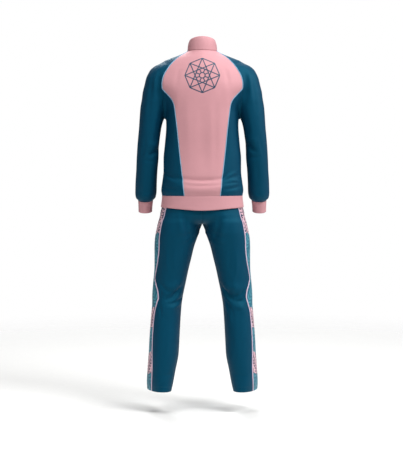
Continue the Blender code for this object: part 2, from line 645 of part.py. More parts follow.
def shoulder_line(low, count):
    """The sleeve's outline from a point on its outer side over the shoulder to the neck."""
    start = np.array([0.150, 0.0, -0.200])
    end = neck_ring(np.array([0.0]))[0]
    first = math.atan2(low[2] - start[2], low[0] - start[0])
    last = math.atan2(end[2] - start[2], end[0] - start[0])
    angle = np.linspace(first, last, 200)
    direction = np.stack([np.cos(angle), 0 * angle, np.sin(angle)], -1)
    line = reached(jacket_skin, start, direction, 0.24)
    line[0], line[-1] = low, end
    return evenly(line, count)


def sleeve_net():
    """The wearer's left sleeve: closed rings up to the underarm, then rows from the front seams over the
    shoulder to the back seams. Returns the net and the number of closed rows."""
    half = SLEEVE_COLUMNS // 2
    closed = np.stack([ring(z, *lean(z), SLEEVE_COLUMNS) for z in SLEEVE_ROWS])
    front, back = (
        np.vstack([armhole(ARMHOLE_ROWS, side), raglan_seam(RAGLAN_ROWS, side)[1:]]) for side in (-1, 1)
    )
    underarm = front[0]
    low = np.array([underarm[0] + 0.055, 0.0, underarm[2] + 0.013])
    low = reached(jacket_skin, low, unit(np.array([1.0, 0.0, 0.21])), 0.12)
    outer = shoulder_line(low, ARMHOLE_ROWS + RAGLAN_ROWS)
    between = (front + back) / 2
    away = np.linalg.norm(between - outer, axis=1, keepdims=True)
    centre = outer + unit(between - outer) * np.sqrt((away * 0.5) ** 2 + 0.045**2)
    centre[0] = (outer[0] + underarm) / 2
    before = fan(jacket_skin, centre, front, outer, half)
    behind = fan(jacket_skin, centre, outer, back, half)
    rows = np.concatenate([before, behind[:, 1:]], axis=1)
    rows[-1] = neck_line(NECK_AT_FRONT_SEAM, NECK_AT_BACK_SEAM, SLEEVE_COLUMNS)
    angle = np.linspace(-math.pi, math.pi, SLEEVE_COLUMNS + 1)
    out, reach = unit(outer[0] - centre[0]), np.array([0.0, 1.0, 0.0])
    direction = np.cos(angle)[:, None] * out + np.sin(angle)[:, None] * reach
    rows[0] = reached(jacket_skin, centre[0], direction, 0.12)
    rows[0, 0] = rows[0, -1] = underarm
    return np.concatenate([closed, rows]), len(closed) + 1


def sleeve(name, mirror):
    net, closed = sleeve_net()
    base = pulled_in(net)
    base[:closed, 0] = base[:closed, -1] = net[:closed, 0]
    base[0, 0] = base[0, -1] = net[0, 0] + unit(net[1, 0] - net[0, 0]) * SEAM_GAP / 2
    down = unit(net[closed - 2, 0] - net[closed - 1, 0])
    base[closed - 1, 0] = base[closed - 1, -1] = net[closed - 1, 0] + down * SEAM_GAP / 2
    if mirror:
        base = base * MIRROR
    points, normals = JACKET.dressed(base)
    rows, columns = base.shape[:2]
    index = np.arange(rows * columns).reshape(rows, columns)
    index[:closed, -1] = index[:closed, 0]
    kept, index = np.unique(index, return_inverse=True)
    index = index.reshape(rows, columns)
    faces = [
        tuple(int(i) for i in (index[r, c], index[r, c + 1], index[r + 1, c + 1], index[r + 1, c]))
        for r in range(rows - 1)
        for c in range(columns - 1)
    ]
    if mirror:
        faces = [f[::-1] for f in faces]
    faces = split(JACKET, points.reshape(-1, 3)[kept], faces)
    wall(name, points.reshape(-1, 3)[kept], normals.reshape(-1, 3)[kept], faces, CLOTH, TEAL)
    return points, normals


def cuff(name, mirror):
    heights = np.linspace(CUFF_END, CUFF_SEAM, 4)
    net = np.stack([ring(z, 0.0, math.radians(WRIST_TILT), SLEEVE_COLUMNS) for z in heights])[:, :-1]
    net[-1] = ring(CUFF_SEAM, *lean(CUFF_SEAM), SLEEVE_COLUMNS)[:-1]
    return panel(name, JACKET, net, PINK, BAND, closed=True, mirror=mirror)


def net_normals(net, closed=False):
    """Outward normals of a net whose columns run to the right and whose rows run up."""
    across = np.gradient(net, axis=1)
    if closed:
        across = np.roll(net, -1, axis=1) - np.roll(net, 1, axis=1)
    return unit(np.cross(across, np.gradient(net, axis=0)))


def collar():
    """A stand collar from one zip edge round the back of the neck to the other."""
    front = np.linspace(NECK_AT_ZIP, NECK_AT_FRONT_SEAM, FRONT_COLUMNS + 1)
    over = np.linspace(NECK_AT_FRONT_SEAM, NECK_AT_BACK_SEAM, SLEEVE_COLUMNS // 2 + 1)
    half = np.concatenate([front, over[1:]])
    behind = np.linspace(NECK_AT_BACK_SEAM, math.pi - NECK_AT_BACK_SEAM, BACK_COLUMNS + 1)
    angle = np.concatenate([half, behind[1:-1], (math.pi - half)[::-1]])
    base = neck_ring(angle)
    width, depth_back, depth_front = 0.0570, 0.0600, 0.0700
    end = -math.acos(ZIP_GAP / width)
    turn = math.pi / 2 + (angle - math.pi / 2) * (math.pi / 2 - end) / (math.pi / 2 - angle[0])
    depth = np.where(np.sin(turn) > 0, depth_back, depth_front)
    rise = (COLLAR_RISE_BACK + COLLAR_RISE_FRONT) / 2
    swing = (COLLAR_RISE_BACK - COLLAR_RISE_FRONT) / 2
    top = np.stack([width * np.cos(turn), depth * np.sin(turn), rise + swing * np.sin(turn)], -1)
    s = np.linspace(0, 1, 4)[:, None, None]
    net = (1 - s) * base + s * top
    outward = turned(angle)
    net = net + outward * (0.0035 * np.sin(math.pi * s) - 0.0030 * np.sin(math.pi * s) * (1 - s))
    net = pulled_in(net, ends=False)
    net[0] += unit(net[1] - net[0]) * SEAM_GAP * 1.5
    net[:, 0, 0], net[:, -1, 0] = ZIP_GAP, -ZIP_GAP
    normals = net_normals(net)
    faces = net_faces(*net.shape[:2])
    wall("collar", net.reshape(-1, 3), normals.reshape(-1, 3), faces, BAND, PINK)
    return net, normals


def hem_band(fronts, sides, backs):
    """The band round the hips, from one zip edge to the other, its columns in line with the panels'."""
    half = np.concatenate([fronts[0], sides[0, 1:]])
    seam = np.concatenate([half, backs[0, 1:-1], (half * MIRROR)[::-1]])
    angle = np.unwrap(np.arctan2(seam[:, 1], seam[:, 0]))
    turn = np.sin(angle)
    edge = HEM_SIDE - np.where(turn > 0, HEM_BACK_DROP, HEM_FRONT_DROP) * turn**2
    rows = [hem_ring(angle, edge + (HEM_SEAM - edge) * s) for s in (0.0, 0.5)] + [seam]
    net = np.stack(rows)
    net[:, 0, 0], net[:, -1, 0] = ZIP_GAP, -ZIP_GAP
    return panel("hem_band", JACKET, net, PINK, BAND)


def trim(name, points, normals, width, finish):
    """A flat strip that follows a line of cloth, just off it."""
    along = unit(np.gradient(points, axis=0))
    across = unit(np.cross(normals, along))
    rings = np.stack(
        [
            points + across * width / 2 + normals * TRIM_LIFT,
            points - across * width / 2 + normals * TRIM_LIFT,
            points - across * width / 2 + normals * (TRIM_LIFT + TRIM_THICKNESS),
            points + across * width / 2 + normals * (TRIM_LIFT + TRIM_THICKNESS),
        ],
        1,
    )
    count = len(points)
    faces = net_faces(count, 4, closed=True, flip=True)
    faces += [(0, 1, 2, 3), tuple(4 * (count - 1) + i for i in (3, 2, 1, 0))]
    return shape(name, rings.reshape(-1, 3), faces, finish)


def seam_trim(name, cloth, line, width, finish, mirror):
    line = line.copy()
    line[0] += unit(line[1] - line[0]) * 0.0010
    line[-1] += unit(line[-2] - line[-1]) * 0.0010
    points, normals = cloth.dressed(line * MIRROR if mirror else line)
    return trim(name, points, normals, width, finish)


# Panels of the trousers


def leg_middle(z):
    middle, forward = LEG(z)[:2]
    return np.stack([middle, -forward, z + 0 * middle], -1)


def leg_outline(z):
    """How far out the wearer's left leg reaches at each height."""
    angle = np.linspace(-1.2, 1.2, 49)
    return reached(trouser_skin, leg_middle(z)[:, None], turned(angle)[None], 0.2)[..., 0].max(1)


def panel_edges(z):
    """Front and back edges of the side panel at each height, on the wearer's left."""
    middle, outline = leg_middle(z), leg_outline(z)
    start = np.stack([outline - STRIPE_INSET(z)[0], middle[:, 1], z], -1)
    back = reached(trouser_skin, start, np.array([0.0, 1.0, 0.0]), 0.16)
    # the front edge hangs straighter than the back one, which the folds behind the knee push about
    start[:, 0] = outline - 0.018
    calm = reached(trouser_skin, start, np.array([0.0, 1.0, 0.0]), 0.16)
    first = np.arctan2(calm[:, 1] - middle[:, 1], calm[:, 0] - middle[:, 0])
    angle = first[:, None] - np.linspace(0, 2.6, 80)
    line = reached(trouser_skin, middle[:, None], turned(angle), 0.2)
    length = np.linalg.norm(np.diff(line, axis=1), axis=-1).cumsum(1)
    wide = SIDE_PANEL_WIDTH(z)[0]
    chosen = np.array([np.interp(w, np.concatenate([[0], row]), a) for w, row, a in zip(wide, length, angle)])
    front = reached(trouser_skin, middle, turned(chosen), 0.2)
    return front, back


def crotch_line(count, side):
    """From the crotch point up the middle of the seat or of the lap to the waistband."""
    centre = -0.660
    turn = np.linspace(0, math.pi / 2, 80)
    direction = np.stack([0 * turn, side * np.sin(turn), -np.cos(turn)], -1)
    under = reached(trouser_skin, np.array([0.0, 0.0, centre]), direction, 0.2)
    z = np.linspace(centre, WAISTBAND_SEAM, 40)[1:]
    return evenly(np.vstack([under, across_face(trouser_skin, 0 * z, z, side)]), count)


LEG_ROWS = np.array([
    TROUSER_HEM, -1.454, -1.430, -1.402, -1.360, -1.306, -1.248, -1.192, -1.148, -1.118, -1.092, -1.072, -1.054,
    -1.036, -1.016, -0.988, -0.950, -0.905, -0.862, -0.828, -0.802, -0.782,
])
UPPER_ROWS = 9
LEG_COLUMNS, LEG_SIDE_COLUMNS = 7, 4


def trouser_nets():
    """Back, side and front panels of the wearer's left leg."""
    seat, lap = crotch_line(UPPER_ROWS, 1), crotch_line(UPPER_ROWS, -1)
    middle = leg_middle(LEG_ROWS)
    inseam = reached(trouser_skin, middle, np.array([-1.0, 0.0, 0.0]), 0.2)
    upper = np.linspace(-0.764, WAISTBAND_SEAM, UPPER_ROWS + 1)
    heights = np.concatenate([LEG_ROWS, upper])
    front, back = panel_edges(heights)
    side_centre = leg_middle(heights)
    side = fan(trouser_skin, side_centre, front, back, LEG_SIDE_COLUMNS)
    nets = []
    for edge, inner in ((back, seat), (front, lap)):
        inner = np.vstack([inseam, inner])
        centre = leg_middle(heights)
        centre[len(LEG_ROWS):, 2] = (edge + inner)[len(LEG_ROWS):, 2] / 2
        side_first = edge is back
        ends = (edge, inner) if side_first else (inner, edge)
        net = fan(trouser_skin, centre, *ends, LEG_COLUMNS)
        net[len(LEG_ROWS) - 1, -1 if side_first else 0, 1] += TIGHT_SEAM / 2 * (1 if side_first else -1)
        nets.append(net)
    return nets[0], side, nets[1]


def waistband(backs, sides, fronts):
    """The elastic band round the waist, its columns in line with the panels'."""
    half = np.concatenate([fronts[-1], sides[-1, 1:], backs[-1, 1:]])
    seam = np.concatenate([half, (half * MIRROR)[::-1][1:-1]])
    angle = np.arctan2(seam[:, 1], seam[:, 0])
    start = np.stack([0 * angle, 0 * angle, WAIST + 0 * angle], -1)
    edge = reached(trouser_skin, start, turned(angle), 0.22)
    return panel("waistband", TROUSERS, np.stack([seam, edge]), TEAL, BAND, closed=True)


# Zip


def zip_line(pieces, side, x):
    """Points and normals up the front at a distance from the middle, in the plane of the cloth beside it."""
    points, normals = [], []
    for net, normal in pieces:
        edge, inner = (0, 1) if side > 0 else (-1, -2)
        reach = (side * x - net[:, edge, 0]) / (net[:, inner, 0] - net[:, edge, 0])
        points.append(net[:, edge] + (net[:, inner] - net[:, edge]) * reach[:, None])
        normals.append(normal[:, edge])
    points = np.vstack([points[0], points[1][1:], points[2][1:]])
    normals = np.vstack([normals[0], normals[1][1:], normals[2][1:]])
    points[-1] += unit(points[-2] - points[-1]) * ZIP_TOP_INSET
    points[0] += unit(points[1] - points[0]) * 0.0010
    return points, normals


def zip_tape(name, pieces, side):
    depth = BAND + 0.0005
    strips = [zip_line(pieces, side, x) for x in (ZIP_TEETH_HALF + SEAM_GAP, ZIP_TAPE_HALF)]
    if side < 0:
        strips = strips[::-1]
    net = np.stack([p - n * depth for p, n in strips], 1)
    normals = np.stack([n for _, n in strips], 1)
    faces = net_faces(*net.shape[:2])
    return wall(name, net.reshape(-1, 3), normals.reshape(-1, 3), faces, ZIP_TAPE_THICKNESS, TAPE)


def middle_line(left, right):
    """Points and normals of the middle of the front."""
    (p, n), (q, m) = zip_line(left, 1, 0.0), zip_line(right, -1, 0.0)
    return (p + q) / 2, unit(n + m)


def box(low, high):
    points = [(x, y, z) for z in (low[2], high[2]) for y in (low[1], high[1]) for x in (low[0], high[0])]
    faces = [(0, 2, 3, 1), (4, 5, 7, 6), (0, 1, 5, 4), (2, 6, 7, 3), (0, 4, 6, 2), (1, 3, 7, 5)]
    return points, faces


def finished(name, points, faces, finish, frame, bevel=0.0):
    """A hard piece made in a frame of its own, which is its object's, with its edges taken off."""
    made = shape(name, points, faces, finish)
    if bevel:
        work = bmesh.new()
        work.from_mesh(made.data)
        bmesh.ops.bevel(work, geom=work.edges[:], offset=bevel, segments=1, affect="EDGES")
        work.to_mesh(made.data)
        work.free()
    made.data.set_sharp_from_angle(angle=math.radians(30))
    made.matrix_basis = frame
    return made


def slider_frame(points, normals, down):
    """The slider's frame at a distance down the zip: X across, Y up the zip, Z out from the cloth."""
    length = np.concatenate([[0], np.linalg.norm(np.diff(points[::-1], axis=0), axis=1).cumsum()])
    at = np.array([np.interp(down, length, points[::-1, i]) for i in range(3)])
    above = np.array([np.interp(down - 0.006, length, points[::-1, i]) for i in range(3)])
    up = unit(above - at)
    out = np.cross(np.array([1.0, 0.0, 0.0]), up)
    frame = Matrix.Identity(4)
    for row in range(3):
        frame[row][0], frame[row][1], frame[row][2], frame[row][3] = (1.0, 0, 0)[row], up[row], out[row], at[row]
    return frame


def zip_slider(frame):
    body = finished("zip_slider", *box((-0.0044, -0.0065, -0.0026), (0.0044, 0.0065, 0.0022)), METAL, frame, 0.0008)
    # the bridge that holds the pull tab: a staple over the hinge
    profile = [(-0.0030, 0.0016), (-0.0030, 0.0050), (-0.0022, 0.0058), (0.0022, 0.0058), (0.0030, 0.0050),
               (0.0030, 0.0016), (0.0020, 0.0016), (0.0020, 0.0048), (-0.0020, 0.0048), (-0.0020, 0.0016)]
    count = len(profile)
    points = [(x, y, z) for x in (-0.0010, 0.0010) for y, z in profile]
    quads = [(0, 1, 8, 9), (1, 2, 8), (2, 3, 7, 8), (3, 4, 7), (4, 5, 6, 7)]
    faces = [tuple(i for i in q) for q in quads]
    faces += [tuple(count + i for i in reversed(q)) for q in quads]
    faces += [(i, count + i, count + (i + 1) % count, (i + 1) % count) for i in range(count)]
    bridge = finished("slider_bridge", points, [f[::-1] for f in faces], METAL, frame)
    bridge.hide_render = True
    bridge.display_type = "WIRE"
    joint = body.modifiers.new("bridge", "BOOLEAN")
    joint.operation, joint.solver, joint.object = "UNION", "EXACT", bridge
    return body


def zip_pull(frame):
    """A flat tab hung on the bridge, with a window that leaves the bridge free. Its origin is on its hinge."""
    outer = [(-0.0026, 0.0008), (0.0026, 0.0008), (0.0034, -0.0010), (0.0035, -0.0120), (0.0035, -0.0220),
             (0.0026, -0.0258), (0.0, -0.0270), (-0.0026, -0.0258), (-0.0035, -0.0220), (-0.0035, -0.0120),
             (-0.0034, -0.0010)]
    inner = [(-0.0016, -0.0008), (0.0016, -0.0008), (0.0018, -0.0014), (0.0018, -0.0030), (0.0018, -0.0042),
             (0.0014, -0.0047), (0.0, -0.0048), (-0.0014, -0.0047), (-0.0018, -0.0042), (-0.0018, -0.0030),
             (-0.0018, -0.0014)]
    count = len(outer)
    points = [(x, y, z) for z in (-0.0007, 0.0007) for loop in (outer, inner) for x, y in loop]
    faces = []
    for i in range(count):
        j = (i + 1) % count
        faces += [
            (i, j, count + j, count + i),
            (2 * count + j, 2 * count + i, 3 * count + i, 3 * count + j),
            (j, i, 2 * count + i, 2 * count + j),
            (count + i, count + j, 3 * count + j, 3 * count + i),
        ]
    hinge = frame @ Matrix.Translation((0.0, 0.0, PULL_HINGE))
    finished("zip_pull", points, faces, METAL, hinge)
    return hinge


def jacket():
    back, front, side = back_net(), front_net(), side_net()
    panel("jacket_back", JACKET, back, PINK)
    worn = {}
    for name, mirror in (("left", False), ("right", True)):
        worn[name] = panel("jacket_front_" + name, JACKET, front, PINK, mirror=mirror)
        panel("jacket_side_" + name, JACKET, side, TEAL, mirror=mirror)
        sleeve("sleeve_" + name, mirror)
        cuff("cuff_" + name, mirror)
        for where, face in (("back", 1), ("front", -1)):
            raglan = raglan_seam(RAGLAN_ROWS, face)
            seam = side_seam(face)
            seam_trim(f"raglan_piping_{where}_{name}", JACKET, raglan, PIPING_WIDTH, PALE_BLUE, mirror)
            seam_trim(f"side_piping_{where}_{name}", JACKET, seam, PIPING_WIDTH, PALE_BLUE, mirror)
    neck = collar()
    hem = hem_band(front, side, back)
    # the mirrored front's columns run from its zip edge too, so turn them to run like the bands' columns
    turned_right = tuple(net[:, ::-1] for net in worn["right"])
    left, right = (hem, worn["left"], neck), (hem, turned_right, neck)
    zip_tape("zip_tape_left", left, 1)
    zip_tape("zip_tape_right", right, -1)
    points, normals = middle_line(left, right)
    frame = slider_frame(points, normals, 0.0085)
    length = np.linalg.norm(points - np.array(frame.translation), axis=1)
    below = (points[:, 2] < frame.translation[2]) & (length > 0.0075)
    start = np.array(frame @ Matrix.Translation((0, -0.0068, 0))).T[3, :3]
    teeth = np.vstack([points[below], start])
    teeth_normals = np.vstack([normals[below], normals[below][-1]])
    sunk = BAND + SEAM_GAP - TRIM_LIFT
    trim("zip_teeth", teeth - teeth_normals * sunk, teeth_normals, 2 * ZIP_TEETH_HALF, TEETH)
    zip_slider(frame)
    hinge = zip_pull(frame)
    print("hinge of the pull tab at", [round(v, 5) for v in hinge.translation])
    print("up the zip", [round(v, 4) for v in frame.col[1][:3]], "out", [round(v, 4) for v in frame.col[2][:3]])


def trousers():
    back, side, front = trouser_nets()
    for name, mirror in (("left", False), ("right", True)):
        panel("trouser_back_" + name, TROUSERS, back, TEAL, mirror=mirror)
        panel("trouser_side_" + name, TROUSERS, side, TEAL_PRINT, mirror=mirror)
        panel("trouser_front_" + name, TROUSERS, front, TEAL, mirror=mirror)
        seam_trim("side_stripe_back_" + name, TROUSERS, side[:, -1], STRIPE_WIDTH, LILAC, mirror)
        seam_trim("side_stripe_front_" + name, TROUSERS, side[:, 0], STRIPE_WIDTH, LILAC, mirror)
    waistband(back, side, front)


jacket()
trousers()
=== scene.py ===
"""Tracksuit in its worn form with no wearer: thin creased cloth, knit materials, trims, zip and stitches.

Metres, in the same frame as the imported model: +Z up, the front faces -Y, the wearer's left is +X.
"""

import math

import bpy
import numpy as np
from mathutils import Matrix, Vector
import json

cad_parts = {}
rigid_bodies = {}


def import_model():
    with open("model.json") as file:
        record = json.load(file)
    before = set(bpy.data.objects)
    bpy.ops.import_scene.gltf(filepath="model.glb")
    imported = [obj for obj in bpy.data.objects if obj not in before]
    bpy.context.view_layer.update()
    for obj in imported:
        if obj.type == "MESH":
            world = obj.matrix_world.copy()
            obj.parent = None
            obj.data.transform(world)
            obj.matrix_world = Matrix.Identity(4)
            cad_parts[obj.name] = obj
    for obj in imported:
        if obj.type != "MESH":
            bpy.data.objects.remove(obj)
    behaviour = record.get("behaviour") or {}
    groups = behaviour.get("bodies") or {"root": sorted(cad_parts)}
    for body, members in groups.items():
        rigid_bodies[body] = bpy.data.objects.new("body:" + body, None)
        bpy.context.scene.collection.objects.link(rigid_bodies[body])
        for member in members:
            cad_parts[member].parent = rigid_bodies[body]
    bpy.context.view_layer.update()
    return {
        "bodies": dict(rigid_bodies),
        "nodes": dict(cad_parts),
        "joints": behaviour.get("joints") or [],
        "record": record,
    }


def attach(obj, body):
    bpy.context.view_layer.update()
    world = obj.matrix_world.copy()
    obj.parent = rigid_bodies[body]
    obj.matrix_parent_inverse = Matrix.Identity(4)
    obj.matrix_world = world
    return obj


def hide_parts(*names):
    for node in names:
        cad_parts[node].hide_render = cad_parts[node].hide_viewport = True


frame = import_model()

# Cloth and seams
CLOTH = 0.0014  # wall of the body cloth
BAND = 0.0022  # wall of the doubled collar, cuffs, hem band and waistband
SEAM_GAP = 0.0006  # between two pieces that are sewn together
TIGHT_SEAM = 0.0004
SEAM_SINK = 0.0007  # how far the cloth's edges turn in at a seam
PIPING_WIDTH = 0.0034
STRIPE_WIDTH = 0.0052

# Heights
HEM_SEAM = -0.6270
HEM_SIDE = -0.6760  # lower edge of the hem band at the side seams
HEM_BACK_DROP = 0.0130  # how much lower that edge is at the middle of the back
HEM_FRONT_DROP = 0.0060
CORNER = -0.1670  # where raglan seam, side seam and armhole meet
CUFF_SEAM = -0.6470
CUFF_END = -0.6970
WRIST_TILT = 14.0  # degrees the cuffs lean, square to the forearms
FRONT_NECK_DROP = 0.0550
COLLAR_RISE_BACK = 0.0600
COLLAR_RISE_FRONT = 0.0220
WAIST = -0.5050
WAISTBAND_SEAM = -0.5400
TROUSER_HEM = -1.4760

# Zip
ZIP_GAP = 0.0050  # from the middle to the edge of each front
ZIP_TEETH_HALF = 0.0030
ZIP_TAPE_HALF = 0.0140
ZIP_TAPE_THICKNESS = 0.0008
ZIP_TOP_INSET = 0.0045  # from the collar's edge down to the end of the tape

# Blends where tubes of cloth run into each other
ARMPIT_BLEND = 0.024
CROTCH_BLEND = 0.013
HIP_BLEND = 0.016
ARMHOLE_LEAN = 0.06  # how much the sleeve's seam leans in under the arm

MIRROR = np.array([-1.0, 1.0, 1.0])


class Table:
    """Rows of sizes by height, read between the rows along a smooth curve that never overshoots them."""

    def __init__(self, *rows):
        rows = np.array(sorted(rows), float)
        self.at, self.values = rows[:, 0], rows[:, 1:]
        rise = np.diff(self.values, axis=0) / np.diff(self.at)[:, None]
        product, total = rise[1:] * rise[:-1], rise[1:] + rise[:-1]
        inner = np.where(product > 0, 2 * product / np.where(total == 0, 1, total), 0)
        self.slopes = np.vstack([rise[:1], inner, rise[-1:]])

    def __call__(self, height):
        height = np.clip(height, self.at[0], self.at[-1])
        i = np.clip(np.searchsorted(self.at, height) - 1, 0, len(self.at) - 2)
        step = self.at[i + 1] - self.at[i]
        u = ((height - self.at[i]) / step)[..., None]
        step = step[..., None]
        low, high = self.values[i], self.values[i + 1]
        value = (
            low * (1 + 2 * u) * (1 - u) ** 2
            + high * u * u * (3 - 2 * u)
            + step * self.slopes[i] * u * (1 - u) ** 2
            - step * self.slopes[i + 1] * u * u * (1 - u)
        )
        return np.moveaxis(value, -1, 0)


# Jacket body: height, half width, depth behind, depth in front, squareness
TORSO = Table(
    (0.040, 0.050, 0.054, 0.056, 2.00),
    (0.000, 0.065, 0.068, 0.068, 2.00),
    (-0.015, 0.095, 0.078, 0.075, 1.82),
    (-0.032, 0.139, 0.090, 0.083, 1.75),
    (-0.050, 0.177, 0.100, 0.090, 1.72),
    (-0.067, 0.204, 0.108, 0.098, 1.75),
    (-0.085, 0.219, 0.114, 0.105, 1.85),
    (-0.120, 0.226, 0.122, 0.116, 2.05),
    (-0.155, 0.214, 0.127, 0.124, 2.30),
    (-0.200, 0.180, 0.129, 0.130, 2.45),
    (-0.265, 0.156, 0.128, 0.133, 2.50),
    (-0.326, 0.157, 0.125, 0.133, 2.50),
    (-0.413, 0.164, 0.119, 0.129, 2.45),
    (-0.467, 0.169, 0.117, 0.125, 2.45),
    (-0.519, 0.169, 0.118, 0.123, 2.40),
    (-0.571, 0.175, 0.121, 0.124, 2.40),
    (-0.604, 0.179, 0.122, 0.123, 2.40),
    (-0.627, 0.176, 0.117, 0.117, 2.35),
    (-0.690, 0.183, 0.120, 0.113, 2.30),
)

# Sleeve and cuff: height, middle across, middle forward, half width, depth behind, depth in front
SLEEVE = Table(
    (-0.050, 0.145, 0.000, 0.004, 0.010, 0.010),
    (-0.066, 0.158, 0.000, 0.040, 0.050, 0.050),
    (-0.085, 0.168, 0.000, 0.053, 0.062, 0.062),
    (-0.120, 0.182, 0.001, 0.060, 0.072, 0.072),
    (-0.172, 0.196, 0.002, 0.062, 0.077, 0.077),
    (-0.207, 0.204, 0.002, 0.059, 0.077, 0.077),
    (-0.241, 0.212, 0.003, 0.057, 0.075, 0.075),
    (-0.276, 0.219, 0.003, 0.053, 0.073, 0.073),
    (-0.345, 0.229, 0.005, 0.048, 0.068, 0.068),
    (-0.415, 0.2365, 0.010, 0.047, 0.063, 0.061),
    (-0.467, 0.2395, 0.017, 0.0475, 0.060, 0.059),
    (-0.519, 0.243, 0.026, 0.0465, 0.058, 0.057),
    (-0.571, 0.2465, 0.037, 0.0468, 0.056, 0.055),
    (-0.612, 0.248, 0.046, 0.0468, 0.053, 0.052),
    (-0.634, 0.2490, 0.051, 0.0435, 0.047, 0.047),
    (-0.646, 0.2495, 0.054, 0.0335, 0.037, 0.037),
    (-0.700, 0.2515, 0.066, 0.0300, 0.034, 0.034),
    (-0.720, 0.2520, 0.070, 0.0298, 0.034, 0.034),
)
SLEEVE_TOP = -0.052

# Hips of the trousers: height, half width, depth behind, depth in front, squareness
HIPS = Table(
    (-0.500, 0.148, 0.103, 0.098, 2.20),
    (-0.545, 0.154, 0.107, 0.102, 2.20),
    (-0.628, 0.1674, 0.1080, 0.1030, 2.25),
    (-0.665, 0.1746, 0.1105, 0.1030, 2.25),
    (-0.681, 0.1781, 0.1110, 0.1030, 2.25),
    (-0.695, 0.1818, 0.1120, 0.1030, 2.25),
    (-0.708, 0.1835, 0.1115, 0.1020, 2.25),
    (-0.722, 0.1820, 0.1050, 0.0960, 2.20),
    (-0.736, 0.1760, 0.0950, 0.0870, 2.10),
    (-0.746, 0.1650, 0.0800, 0.0730, 2.00),
    (-0.756, 0.1500, 0.0580, 0.0520, 2.00),
)
HIPS_BOTTOM = -0.753

# Trouser leg: height, middle across, middle forward, half width, depth behind, depth in front, turn of the toes out
LEG = Table(
    (-0.655, 0.080, 0.000, 0.050, 0.070, 0.065, 0.0),
    (-0.700, 0.088, 0.000, 0.076, 0.092, 0.084, 0.0),
    (-0.722, 0.093, 0.000, 0.088, 0.101, 0.092, 0.0),
    (-0.744, 0.0985, 0.000, 0.0945, 0.106, 0.097, 0.0),
    (-0.779, 0.1045, 0.000, 0.0965, 0.106, 0.099, 0.0),
    (-0.813, 0.1145, 0.000, 0.0925, 0.101, 0.097, 0.0),
    (-0.848, 0.122, 0.000, 0.087, 0.096, 0.095, 0.0),
    (-0.900, 0.1285, 0.000, 0.0805, 0.090, 0.092, 0.0),
    (-0.953, 0.1355, 0.001, 0.0745, 0.085, 0.089, 0.0),
    (-1.005, 0.1435, 0.002, 0.0715, 0.081, 0.087, 0.0),
    (-1.057, 0.151, 0.002, 0.068, 0.079, 0.085, 0.0),
    (-1.109, 0.1555, -0.002, 0.0645, 0.080, 0.083, 1.0),
    (-1.179, 0.161, -0.007, 0.065, 0.083, 0.082, 2.5),
    (-1.248, 0.1655, -0.009, 0.0655, 0.085, 0.082, 5.0),
    (-1.318, 0.1695, -0.009, 0.065, 0.087, 0.083, 8.0),
    (-1.388, 0.179, -0.008, 0.060, 0.088, 0.084, 12.0),
    (-1.440, 0.1855, -0.007, 0.055, 0.090, 0.086, 15.0),
    (-1.480, 0.1895, -0.006, 0.0465, 0.091, 0.088, 18.0),
)
LEG_TOP = -0.660

# Seams of the back and of the fronts: height, distance from the middle
RAGLAN_BACK = Table((0.000, 0.061), (-0.034, 0.110), (-0.080, 0.149), (-0.122, 0.170), (-0.148, 0.1745), (CORNER, 0.1735))
RAGLAN_FRONT = Table((-0.004, 0.061), (-0.038, 0.108), (-0.084, 0.146), (-0.124, 0.168), (-0.148, 0.1735), (CORNER, 0.1735))
SIDE_SEAM = Table((-0.700, 0.072), (HEM_SEAM, 0.0775), (-0.440, 0.0980), (-0.250, 0.1175), (-0.224, 0.1250), (CORNER, 0.1735))

# Back edge of the trouser side panel: height, distance in from the leg's outline as seen from behind
STRIPE_INSET = Table(
    (-0.500, 0.022), (-0.628, 0.022), (-0.690, 0.021), (-0.744, 0.018), (-0.848, 0.022), (-0.909, 0.016),
    (-0.953, 0.009), (-0.983, 0.007), (-1.010, 0.014), (-1.045, 0.026), (-1.068, 0.028), (-1.090, 0.022),
    (-1.131, 0.015), (-1.179, 0.014), (-1.290, 0.016), (-1.388, 0.023), (-1.440, 0.024), (-1.480, 0.022),
)
# Width of that panel along the cloth: height, width
SIDE_PANEL_WIDTH = Table((-0.500, 0.100), (-0.760, 0.118), (-1.060, 0.110), (-1.480, 0.104))

